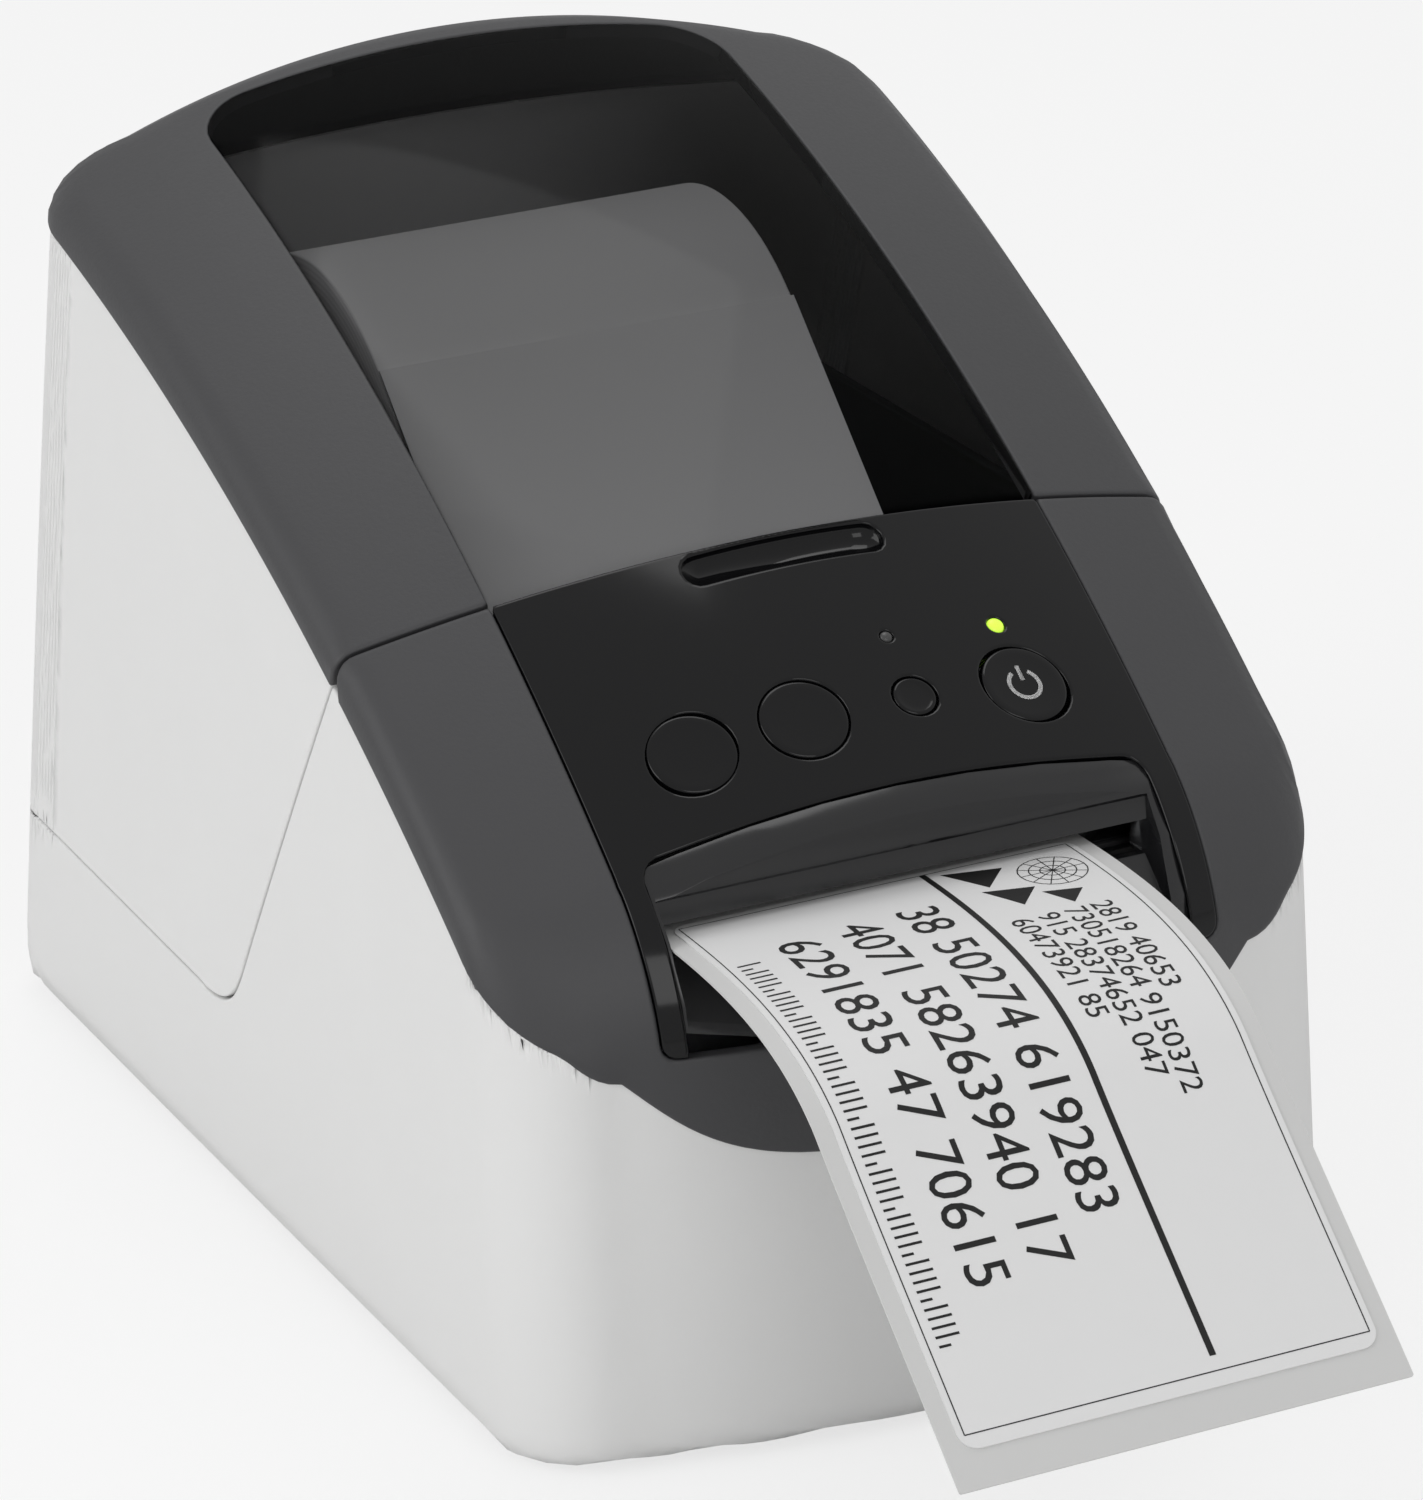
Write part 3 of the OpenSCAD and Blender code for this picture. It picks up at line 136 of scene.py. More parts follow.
def studio_surface(name, lit, seen):
    """A surface that lights the object as a pale grey and shows brighter to the camera."""
    material, tree = Shade.start(name)
    path = tree.node("ShaderNodeLightPath")
    shown = Shade(path.tree, path.socket.node.outputs["Is Camera Ray"])
    plain = tree.node("ShaderNodeBsdfDiffuse", Color=(lit, lit, lit, 1))
    bright = tree.node("ShaderNodeEmission", Color=(1, 1, 1, 1), Strength=1)
    mixed = tree.node("ShaderNodeMixShader", _0=shown * seen, _1=plain, _2=bright)
    tree.output(mixed)
    return material


floor_bm = bmesh.new()
bmesh.ops.create_circle(floor_bm, cap_ends=True, segments=96, radius=3)
floor_mesh = bpy.data.meshes.new("studio_floor")
floor_bm.to_mesh(floor_mesh)
floor_bm.free()
floor = bpy.data.objects.new("studio_floor", floor_mesh)
floor_mesh.materials.append(studio_surface("floor_card", 0.86, 0.72))
bpy.context.scene.collection.objects.link(floor)

world = bpy.data.worlds.new("studio_air")
bpy.context.scene.world = world
world.use_nodes = True
air = Shade(world.node_tree, None)
world.node_tree.nodes.clear()
rays = air.node("ShaderNodeLightPath").socket.node.outputs
ray_kinds = ("Camera", "Transmission", "Glossy")
direct, through, glossy = (Shade(world.node_tree, rays[f"Is {kind} Ray"]) for kind in ray_kinds)
seen = air.maths("MAXIMUM", direct, through)
soft = air.node("ShaderNodeBackground", Color=(1, 1, 1, 1), Strength=0.55)
white = air.node("ShaderNodeBackground", Color=(1, 1, 1, 1), Strength=1)
sky = air.node("ShaderNodeMixShader", _0=air.maths("MAXIMUM", seen, glossy * 0.25), _1=soft, _2=white)
air.node("ShaderNodeOutputWorld", Surface=sky)


def softbox(name, place, aim, size, power):
    """A rectangular area lamp turned to the point that it lights."""
    data = bpy.data.lights.new(name, "AREA")
    data.shape = "RECTANGLE"
    data.size, data.size_y = size
    data.energy = power
    lamp = bpy.data.objects.new(name, data)
    lamp.location = place
    lamp.rotation_euler = (Vector(aim) - Vector(place)).to_track_quat("-Z", "Y").to_euler()
    bpy.context.scene.collection.objects.link(lamp)


softbox("left_softbox", (-1.3, -0.1, 0.75), (0, 0, 0.06), (0.9, 0.9), 6)
softbox("front_softbox", (-0.1, -1.5, 0.9), (0, 0, 0.05), (0.9, 0.6), 3.5)
softbox("top_softbox", (0.3, 0.5, 1.6), (0, 0, 0.1), (0.8, 0.8), 4)
bpy.context.scene.view_settings.view_transform = "Standard"

# The lower case is one white moulding: floor, four leaning walls and a rounded heel. It is
# shaped here as a flat blank with a rolled rim that is folded up round the case's plan.
foot_half_w, top_half_w, front_y, rear_y = 61.05, 62.45, 110.5, 109.5
front_bow, rear_bow, corner_r, heel_r, toe_r = 6.9, 6.0, 15.0, 10.0, 2.0
lean, taper, foot_gap, wall_step, wall_t = 0.404, 0.028, 1.6, 0.4, 2.2
arc_r, arc_y, arc_drop, skirt_h, crown_h, crown_half_w = 373.0, 138.7, 225.8, 4.8, 11.6, 62.5
front_edge_r, side_edge_r, rear_edge_r, band_z = 11.0, 2.5, 6.0, 41.3
front_line = -front_y + front_bow
turn_rows, heel_row, last_row, last_col, fan_step = 4, 13, 17, 10, 22.5
corner_n, wall_n, end_n = 40, 130, 90
side_n = 2 * corner_n + wall_n
front_middle, rear_middle = -end_n / 2, side_n + end_n / 2 - 0.1


def skirt_z(y):
    """Height of the dark top's edge at the side walls."""
    return np.sqrt(arc_r ** 2 - (arc_y - y) ** 2) - arc_drop


def top_z(x, y):
    """Height of the crowned top."""
    return skirt_z(y) + skirt_h + crown_h * (1 - (x / crown_half_w) ** 2)


def plan(i, j, inset, z):
    """Point of the case's outline: row i from front (0) to rear (17), column j from left to right."""
    rear = rear_y - lean * z - corner_r
    front = front_line + corner_r
    toe, heel, wall_rows = i <= turn_rows, i >= heel_row, heel_row - turn_rows
    fan = np.where(toe, -90 + fan_step * i, np.where(heel, fan_step * (i - heel_row), 0)) * math.pi / 180
    y = np.where(toe, front, np.where(heel, rear, front + (rear - front) * (i - turn_rows) / wall_rows))
    half = foot_half_w + (top_half_w + taper * y - foot_half_w) * z / skirt_z(y)
    half = np.where(toe | heel, half - corner_r + (corner_r - inset) * np.cos(fan), half - inset)
    y = np.where(toe | heel, y + (corner_r - inset) * np.sin(fan), y)
    rear_part = rear_bow * ((i - heel_row) / turn_rows) ** 2
    bow = np.where(toe, -front_bow * (1 - i / turn_rows) ** 2, np.where(heel, rear_part, 0))
    u = j / (last_col / 2) - 1
    return half * u, y + bow * (1 - u * u)


ring_i = np.concatenate([
    np.linspace(0, turn_rows, corner_n, False), np.linspace(turn_rows, heel_row, wall_n, False),
    np.linspace(heel_row, last_row, corner_n, False),
])
ring_i = np.concatenate([ring_i, np.full(end_n, float(last_row)), last_row - ring_i, np.zeros(end_n)])
ring_j = np.concatenate([
    np.full(side_n, float(last_col)), np.linspace(last_col, 0, end_n, False),
    np.zeros(side_n), np.linspace(0, last_col, end_n, False),
])
ring_n = len(ring_i)


def convex_line(points, middle=side_n + end_n // 2, blur=13):
    """The closed line, begun at its rear middle, without its slight hollows: no two folds cross."""
    line = np.roll(points, -middle, 0)
    steps = np.roll(line, -1, 0) - line
    lengths = np.linalg.norm(steps, axis=1)
    turns = np.unwrap(np.arctan2(steps[:, 1], steps[:, 0]))
    groups = []
    for angle, length in zip(turns, lengths):
        groups.append([angle, length, 1])
        while len(groups) > 1 and groups[-2][0] > groups[-1][0]:
            a, la, na = groups.pop()
            b, lb, nb = groups.pop()
            groups.append([(a * la + b * lb) / (la + lb), la + lb, na + nb])
    turns = np.concatenate([np.full(n, angle) for angle, _, n in groups])
    half = blur // 2
    wide = np.concatenate([turns[-half:] - 2 * math.pi, turns, turns[:half] + 2 * math.pi])
    turns = np.convolve(wide, np.ones(blur) / blur, "valid")
    walk = np.cumsum(np.stack([np.cos(turns), np.sin(turns)], 1) * lengths[:, None], 0)
    walk -= walk[-1] * (np.cumsum(lengths) / lengths.sum())[:, None]
    line = np.roll(walk, 1, 0)
    line += points.mean(0) - line.mean(0)
    return np.roll(line, middle, 0)


class Blank:
    """A flat blank whose rim folds over a rounded edge, down from the top or up from the foot."""

    batch = 2000
    hollow_reach = 9

    def __init__(self, up, inset):
        self.up = up
        self.inset = inset
        true_ends = self.surface(ring_i, ring_j, np.zeros(ring_n))[:, :2]
        self.ends = convex_line(true_ends)
        self.shift = true_ends - self.ends
        along = np.roll(self.ends, -1, 0) - np.roll(self.ends, 1, 0)
        self.out = np.stack([along[:, 1], -along[:, 0]], 1) / np.linalg.norm(along, axis=1)[:, None]

    def edge(self, i):
        """Radius of the rounded edge at row i."""
        past_heel = i - heel_row
        if self.up:
            return np.where(past_heel > 0, toe_r + (heel_r - toe_r) * np.clip(past_heel, 0, 1), toe_r)
        front = front_edge_r + (side_edge_r - front_edge_r) * (np.minimum(i, turn_rows) / turn_rows) ** 2
        return np.where(past_heel >= 0, side_edge_r + (rear_edge_r - side_edge_r) * past_heel / turn_rows, front)

    def surface(self, i, j, reach):
        """Where the fold puts a point that lies reach outside the fold line."""
        r = self.edge(i)
        turn = np.clip(reach / r, 0, math.pi / 2)
        rise = np.where(reach < r * math.pi / 2, r * (1 - np.cos(turn)), r + reach - r * math.pi / 2)
        inset = self.inset + r * (1 - np.sin(turn))
        if self.up:
            z = foot_gap + rise
            x, y = plan(i, j, inset, z)
            return np.stack([x, y, z], 1)
        x, y = plan(i, j, inset, np.full_like(i, arc_r / 3))
        for _ in range(3):
            x, y = plan(i, j, inset, top_z(x, y) - rise)
        return np.stack([x, y, top_z(x, y) - rise], 1)

    def flat(self, k, reach):
        """Point of the flat blank at ring place k (may lie between two) and reach outside the fold."""
        k = np.asarray(k, float)
        low = np.floor(k).astype(int)
        part = (k - low)[:, None]
        ends = self.ends[low % ring_n] * (1 - part) + self.ends[(low + 1) % ring_n] * part
        out = self.out[low % ring_n] * (1 - part) + self.out[(low + 1) % ring_n] * part
        return ends + out * np.asarray(reach, float)[:, None]

    def fold(self, flat):
        """The flat points (n, 2) on the case, as (n, 3)."""
        done = np.empty((len(flat), 3))
        for start in range(0, len(flat), self.batch):
            part = flat[start:start + self.batch]
            a, b = self.ends, np.roll(self.ends, -1, 0)
            span = b - a
            t = np.clip(((part[:, None] - a) * span).sum(2) / (span ** 2).sum(1), 0, 1)
            gap = part[:, None] - a - t[:, :, None] * span
            near = (gap ** 2).sum(2).argmin(1)
            rows = np.arange(len(part))
            t, gap = t[rows, near], gap[rows, near]
            reach = np.linalg.norm(gap, axis=1) * np.sign((gap * self.out[near]).sum(1))
            nxt = (near + 1) % ring_n
            i = ring_i[near] * (1 - t) + ring_i[nxt] * t
            j = ring_j[near] * (1 - t) + ring_j[nxt] * t
            folded = self.surface(i, j, np.maximum(reach, 0))
            share = np.clip(1 + reach / self.hollow_reach, 0, 1)[:, None]
            moved = part + (self.shift[near] * (1 - t)[:, None] + self.shift[nxt] * t[:, None]) * share
            level = np.full(len(part), foot_gap) if self.up else top_z(moved[:, 0], moved[:, 1])
            inside = np.stack([moved[:, 0], moved[:, 1], level], 1)
            done[start:start + self.batch] = np.where((reach <= 0)[:, None], inside, folded)
        return done

    def reach_to(self, k, line):
        """How far out each ring place k has to go for its height to meet line(y)."""
        k = np.asarray(k, float)
        low = np.floor(k).astype(int) % ring_n
        part = k - np.floor(k)
        i = ring_i[low] * (1 - part) + ring_i[(low + 1) % ring_n] * part
        j = ring_j[low] * (1 - part) + ring_j[(low + 1) % ring_n] * part
        near, distant = np.zeros(len(k)), np.full(len(k), 170.0)
        for _ in range(40):
            mid = (near + distant) / 2
            p = self.surface(i, j, mid)
            short = (p[:, 2] < line(p[:, 1])) if self.up else (p[:, 2] > line(p[:, 1]))
            near, distant = np.where(short, mid, near), np.where(short, distant, mid)
        return near

    def unfold(self, points, across, start, nudge=0.05, longest=4):
        """Flat places of points seen along one axis, found by small steps from start."""
        goal, flat = np.asarray(points, float), np.array(start, float)
        for _ in range(14):
            at = np.delete(self.fold(flat), across, 1)
            du = (np.delete(self.fold(flat + (nudge, 0)), across, 1) - at) / nudge
            dv = (np.delete(self.fold(flat + (0, nudge)), across, 1) - at) / nudge
            det = du[:, 0] * dv[:, 1] - du[:, 1] * dv[:, 0]
            det = np.where(np.abs(det) < 1e-3, 1e-3, det)
            gap = goal - at
            to_u = gap[:, 0] * dv[:, 1] - gap[:, 1] * dv[:, 0]
            to_v = gap[:, 1] * du[:, 0] - gap[:, 0] * du[:, 1]
            step = np.stack([to_u, to_v], 1) / det[:, None]
            size = np.linalg.norm(step, axis=1)[:, None]
            flat = flat + step * np.minimum(1, longest / np.maximum(size, 1e-9))
        return flat


def bezier(a, b, c, d, n):
    """A cubic curve between a and d in n steps."""
    t = np.linspace(0, 1, n + 1)[:, None]
    a, b, c, d = (np.array(p, float) for p in (a, b, c, d))
    return (1 - t) ** 3 * a + 3 * (1 - t) ** 2 * t * b + 3 * (1 - t) * t * t * c + t ** 3 * d


turn_y = front_line + corner_r * 0.17
band_turn = bezier(
    (turn_y, skirt_z(turn_y)), (turn_y - corner_r * 0.22, skirt_z(turn_y) - corner_r * 0.17),
    (turn_y - corner_r * 0.3, band_z + corner_r * 0.06), (-front_y, band_z), 24,
)


def band_line(y):
    """Height of the dark top's lower edge in side view."""
    low = np.interp(y, band_turn[::-1, 0], band_turn[::-1, 1], left=band_z)
    return np.where(y < turn_y, low, skirt_z(np.maximum(y, turn_y)))


sill_z, sill_rise, sill_r, seam_y, seam_bow, seam_gap, lid_lean = 31.0, 3.0, 10.0, 52.6, 5.5, 0.4, 0.782
lid_start = -seam_y + 1.9
lid_top = np.array([lid_start, skirt_z(lid_start)])
lid_foot = np.array([lid_top[0] + (lid_top[1] - sill_z) * lid_lean, sill_z])
lid_way = np.array([-lid_lean, 1.0])
lid_turn = bezier(
    lid_foot + lid_way * sill_r * 0.8, lid_foot + lid_way * sill_r * 0.2,
    lid_foot + (sill_r * 0.25, 0), lid_foot + (sill_r, 0), 12,
)
lid_side = np.concatenate([lid_top + np.linspace(0, 1, 24, False)[:, None] * (lid_turn[0] - lid_top), lid_turn])


def sill_line(y):
    """Height of the line where the cover stands on the case."""
    return sill_z + sill_rise * y / rear_y


def mirrored(half):
    """A half outline on the right, closed with its mirror image on the left."""
    return np.concatenate([half, half[::-1] * (-1, 1)])


def even(points, step=0.9):
    """The closed outline with points at even distances."""
    closed = np.concatenate([points, points[:1]])
    along = np.concatenate([[0], np.cumsum(np.linalg.norm(np.diff(closed, axis=0), axis=1))])
    places = np.linspace(0, along[-1], max(int(along[-1] / step), 12), endpoint=False)
    return np.stack([np.interp(places, along, closed[:, a]) for a in (0, 1)], 1)


def offset(points, by):
    """The closed outline moved by that much to its left."""
    ahead = np.roll(points, -1, 0) - points
    ahead /= np.linalg.norm(ahead, axis=1)[:, None]
    left = np.stack([-ahead[:, 1], ahead[:, 0]], 1)
    both = left + np.roll(left, 1, 0)
    both /= np.maximum(np.linalg.norm(both, axis=1), 0.3)[:, None]
    return points + both * by / np.maximum((both * left).sum(1), 0.6)[:, None]


def turning(points):
    """Twice the area of the outline, positive where it runs to the left."""
    nxt = np.roll(points, -1, 0)
    return (points[:, 0] * nxt[:, 1] - points[:, 1] * nxt[:, 0]).sum()


def mould(name, blank, outline, holes=(), wells=(), rim=0.45, thick=2.2, pitch=3.0, sink=0.0):
    """A wall of even thickness with rolled rims: drawn flat, given its rims, cut to a grid, folded."""
    # a quarter round in three steps and a flat margin, as (distance in, depth)
    round_over = ((0, rim), (0.134 * rim, rim * 0.5), (0.5 * rim, rim * 0.134), (rim, 0), (rim * 1.5, 0))
    bm = bmesh.new()
    rings = []
    for order, points in enumerate([outline] + list(holes) + [w[0] for w in wells]):
        points = even(points, min(0.9, np.ptp(points[:, 0]) / 8))
        if (turning(points) > 0) != (order == 0):
            points = points[::-1]
        rows = [[bm.verts.new((x, y, -depth)) for x, y in offset(points, width)] for width, depth in round_over]
        for low, high in zip(rows, rows[1:]):
            for n in range(len(low)):
                bm.faces.new((low[n - 1], low[n], high[n], high[n - 1]))
        rings.append(rows[-1])
    ring_verts = [v for ring in rings for v in ring]
    ring_xy = np.array([v.co[:2] for v in ring_verts])
    starts = np.cumsum([0] + [len(ring) for ring in rings])
    ties = [(a + n, a + (n + 1) % len(ring)) for a, ring in zip(starts, rings) for n in range(len(ring))]
    tail, head = ring_xy[[t[0] for t in ties]], ring_xy[[t[1] for t in ties]]

    def within(points):
        """Which points lie on the material side of all the outlines."""
        x, y = points[:, :1], points[:, 1:]
        over = (tail[:, 1] > y) != (head[:, 1] > y)
        rise = np.where(head[:, 1] == tail[:, 1], 1, head[:, 1] - tail[:, 1])
        hit = x < tail[:, 0] + (y - tail[:, 1]) * (head[:, 0] - tail[:, 0]) / rise
        return (over & hit).sum(1) % 2 == 1

    def clear(points):
        """Which points keep off the outlines."""
        return np.sqrt(((points[:, None] - ring_xy) ** 2).sum(2).min(1)) > 0.4 * pitch

    def batches(points):
        """The points in groups small enough for the memory."""
        return np.array_split(points, max(len(points) // 1000, 1))

    low, high = ring_xy.min(0) + pitch / 3, ring_xy.max(0)
    across, along = (np.arange(low[a], high[a], pitch) for a in (0, 1))
    grid = np.stack(np.meshgrid(across, along), -1).reshape(-1, 2)
    for test in (within, clear):
        grid = np.concatenate([part[test(part)] for part in batches(grid)])
    flat_points = np.concatenate([ring_xy, grid])
    cut = delaunay_2d_cdt([Vector(p) for p in flat_points], [(int(a), int(b)) for a, b in ties], [], 0, 1e-6)
    known = ring_verts + [bm.verts.new((x, y, 0)) for x, y in grid]
    owner = [known[origin[0]] if origin else bm.verts.new((*cut[0][n], 0)) for n, origin in enumerate(cut[3])]
    triangles = [f for f in cut[2] if len(f) == 3]
    corners = np.array([[tuple(cut[0][n]) for n in f] for f in triangles])
    inside = np.concatenate([within(part) for part in batches(corners.mean(1))])
    for f, kept in zip(triangles, inside):
        if kept and len({owner[n] for n in f}) == 3:
            bm.faces.new([owner[n] for n in f])
    bmesh.ops.delete(bm, geom=[v for v in bm.verts if not v.link_faces], context="VERTS")
    for f in bm.faces:
        f.normal_update()
    bmesh.ops.reverse_faces(bm, faces=[f for f in bm.faces if f.normal.z < 0])
    rims = [e for e in bm.edges if e.is_boundary]
    made = bmesh.ops.extrude_edge_only(bm, edges=rims)["geom"]
    for v in [g for g in made if isinstance(g, bmesh.types.BMVert)]:
        v.co.z = -thick
    for points, depth in wells:
        middle = points.mean(0)
        size = np.abs(points - middle).max(0) + 0.3
        low_verts = {v for v in bm.verts if v.co.z < -thick + 0.01 and all(np.abs(v.co[:2] - middle) < size)}
        floor_edges = [e for e in bm.edges if e.is_boundary and low_verts.issuperset(e.verts)]
        for v in {v for e in floor_edges for v in e.verts}:
            v.co.z = -depth
        bmesh.ops.holes_fill(bm, edges=floor_edges, sides=0)
    co = np.array([v.co[:] for v in bm.verts])
    at = blank.fold(co[:, :2])
    normal = np.zeros_like(at)
    for step in (0.05, 0.4):
        du = blank.fold(co[:, :2] + (step, 0)) - blank.fold(co[:, :2] - (step, 0))
        dv = blank.fold(co[:, :2] + (0, step)) - blank.fold(co[:, :2] - (0, step))
        found = np.cross(du, dv)
        size = np.linalg.norm(found, axis=1)[:, None]
        normal = np.where((normal ** 2).sum(1)[:, None] > 0.5, normal, found / np.maximum(size, 1e-6))
    if blank.up:
        normal = -normal
    at = (at + normal * (co[:, 2:] - sink)) * MM
    for v, p in zip(bm.verts, at):
        v.co = p
    if blank.up:
        bmesh.ops.reverse_faces(bm, faces=bm.faces)
    return finish_piece(name, bm)


def finish_piece(name, bm, smooth=True):
    """The bmesh as an object at the origin."""
    mesh = bpy.data.meshes.new(name)
    bm.to_mesh(mesh)
    bm.free()
    if smooth:
        mesh.shade_smooth()
    piece = bpy.data.objects.new(name, mesh)
    bpy.context.scene.collection.objects.link(piece)
    return piece


def plastic(name, colour, rough, grain, depth, gloss=0.5, mottle=0.02):
    """Moulded plastic: even colour with a slight mottle and a fine surface grain."""
    material, tree = Shade.start(name)
    place = tree.node("ShaderNodeTexCoord", out=3)
    fine = tree.node("ShaderNodeTexNoise", Vector=place, Scale=grain, Detail=3.0, Roughness=0.6)
    broad = tree.node("ShaderNodeTexNoise", Vector=place, Scale=60.0, Detail=2.0)
    tone = tree.mix(broad, tinted(colour, 1 - mottle), tinted(colour, 1 + mottle))
    wear = rough + (fine - 0.5) * rough * 0.25
    bump = tree.node("ShaderNodeBump", Height=fine, Strength=depth, Distance=0.0001)
    tree.principled(Base_Color=tone, Roughness=wear, Normal=bump, Specular_IOR_Level=gloss)
    return material


def dress(piece, material):
    """Gives a piece one material in place of what it has."""
    piece.data.materials.clear()
    piece.data.materials.append(material)
    return piece


white_plastic = plastic("white_moulding", (0.80, 0.80, 0.795), 0.42, 2600.0, 0.10, 0.4, 0.01)
tray = Blank(True, wall_step)


def ring_side(y, z):
    """Starting places in the flat blank for points of the right side wall."""
    return np.stack([foot_half_w + np.asarray(z, float) - foot_gap, np.asarray(y, float)], 1)


def along_ring(blank, first, last, line, step=0.5):
    """Flat points of the blank's rim from ring place first to last where its height meets line(y)."""
    k = np.arange(first, last, step)
    return blank.flat(k, blank.reach_to(k, line))


side_k = np.arange(0, side_n, 0.5)
side_flat_y = tray.flat(side_k, np.full(len(side_k), 60.0))[:, 1]
lid_cut = lid_side + (-seam_gap / 2, -seam_gap)
lid_part = tray.unfold(lid_cut, 0, ring_side(lid_cut[:, 0], lid_cut[:, 1]))
k_top, k_sill = (np.interp(lid_part[n, 1], side_flat_y, side_k) for n in (0, -1))
front_part = along_ring(tray, front_middle, k_top - 0.4, band_line)
sill_part = along_ring(tray, k_sill + 0.8, rear_middle, lambda y: sill_line(y) - seam_gap)


def rear_place(x, z):
    """A point of the rear wall in the flat blank."""
    rear = rear_y - lean * z - corner_r
    half = foot_half_w + (top_half_w + taper * rear - foot_half_w) * z / skirt_z(rear) - corner_r
    k = side_n + end_n / 2 * (1 - x / half)
    return tray.flat([k], [heel_r * math.pi / 2 + z - foot_gap - heel_r])[0]


def rear_window(x, z, w, h, r=1.0):
    """A rectangular opening with small round corners in the rear wall."""
    points = []
    for sx, sz, start in ((1, 1, 0), (-1, 1, 90), (-1, -1, 180), (1, -1, 270)):
        for a in range(0, 91, 30):
            t = math.radians(start + a)
            points.append(rear_place(x + sx * (w / 2 - r) + r * math.cos(t), z + sz * (h / 2 - r) + r * math.sin(t)))
    return np.array(points)


def disc_outline(x, y, r, n=32):
    """A round hole's outline."""
    t = np.arange(n) * 2 * math.pi / n
    return np.stack([x + r * np.cos(t), y + r * np.sin(t)], 1)


def keep(piece, slot, body, *stands_for):
    """Puts the piece under its body's empty and hides the CAD nodes that it stands for; slot, what the piece is
    finished in, is not used.
    """
    if stands_for:
        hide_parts(*stands_for)
    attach(piece, body)
    return piece


mains_window, data_window = (-33, 18, 21.4, 14.4), (34, 17, 13.4, 12.4)
screw_hole_x, screw_hole_y, screw_hole_r = 38, 78, 3.2
case_holes = [rear_window(*mains_window), rear_window(*data_window)]
case_holes += [
    disc_outline(x, y, screw_hole_r) for x in (-screw_hole_x, screw_hole_x) for y in (-screw_hole_y, screw_hole_y)
]
case_outline = mirrored(np.concatenate([front_part, lid_part, sill_part]))
case_tray = mould("case_tray", tray, case_outline, case_holes, rim=0.35, thick=wall_t)
dress(case_tray, white_plastic)
keep(case_tray, "white_case", "chassis", "lower_case")


# The hinge is two ears moulded on the case and two knuckles on the cover, on short steel pins.
# Each is an eye with a web that runs into the wall.
hinge_y, hinge_z, ear_x, ear_t, ear_r, pin_hole_r = 93.0, 38.0, 46.0, 4.0, 3.2, 1.6
knuckle_half, knuckle_r, knuckle_foot_z, hinge_gap, web_inset, web_t = 2.5, 3.0, 44.0, 0.3, 1.8, 2.2


def eye(name, x, half, r, tail):
    """An eye round the hinge axis with a web to the point tail (y, z)."""
    bm = bmesh.new()
    ring = []
    for n in range(25):
        t = math.radians(-30 + 240 * n / 24)
        ring.append((hinge_y + r * math.cos(t), hinge_z + r * math.sin(t)))
    ring += [(tail[0] - web_t, tail[1]), (tail[0], tail[1])]
    loops = (ring, disc_outline(hinge_y, hinge_z, pin_hole_r, 16))
    outer, bore = ([bm.verts.new((x - half, y, z)) for y, z in loop] for loop in loops)
    edges = [bm.edges.new((a, b)) for loop in (outer, bore) for a, b in zip(loop, loop[1:] + loop[:1])]
    bmesh.ops.triangle_fill(bm, use_beauty=True, use_dissolve=False, edges=edges)
    made = bmesh.ops.extrude_face_region(bm, geom=bm.faces[:])["geom"]
    bmesh.ops.translate(bm, vec=(2 * half, 0, 0), verts=[g for g in made if isinstance(g, bmesh.types.BMVert)])
    bmesh.ops.recalc_face_normals(bm, faces=bm.faces)
    sharp = [e for e in bm.edges if len(e.link_faces) == 2 and e.calc_face_angle() > 0.9]
    bmesh.ops.bevel(
        bm, geom=sharp, affect="EDGES", offset=0.3, segments=2, profile=0.5, material=-1, clamp_overlap=True,
    )
    bmesh.ops.scale(bm, vec=(MM, MM, MM), verts=bm.verts)
    return dress(finish_piece(name, bm), white_plastic)


ear_foot_z = hinge_z - 4 * ear_r
ear_foot, knuckle_foot = ((rear_y - lean * z - web_inset, z) for z in (ear_foot_z, knuckle_foot_z))
for side, sign in (("left", -1), ("right", 1)):
    ear = eye("hinge_ear_" + side, sign * ear_x, ear_t / 2, ear_r, ear_foot)
    keep(ear, "white_case", "chassis", "lower_case")
    knuckle_x = sign * (ear_x - ear_t / 2 - hinge_gap - knuckle_half)
    knuckle = eye("hinge_knuckle_" + side, knuckle_x, knuckle_half, knuckle_r, knuckle_foot)
    keep(knuckle, "white_case", "cover", "cover_shell")

# The cover's white sides and back are one moulding that stands on the case's sill.
lid_line = lid_side[::-1]
lid_flat = tray.unfold(lid_line, 0, ring_side(lid_line[:, 0], lid_line[:, 1]))
k_foot, k_head = (np.interp(lid_flat[n, 1], side_flat_y, side_k) for n in (0, -1))
fit_gap = 0.15
brow = along_ring(tray, k_head + 0.6, rear_middle, lambda y: skirt_z(y) - fit_gap)
sill = along_ring(tray, k_foot + 0.8, rear_middle, sill_line)
wall_outline = mirrored(np.concatenate([sill[::-1], lid_flat, brow]))
cover_walls = mould("cover_walls", tray, wall_outline, rim=0.35, thick=wall_t, pitch=2.5)
dress(cover_walls, white_plastic)
keep(cover_walls, "white_case", "cover", "cover_shell")

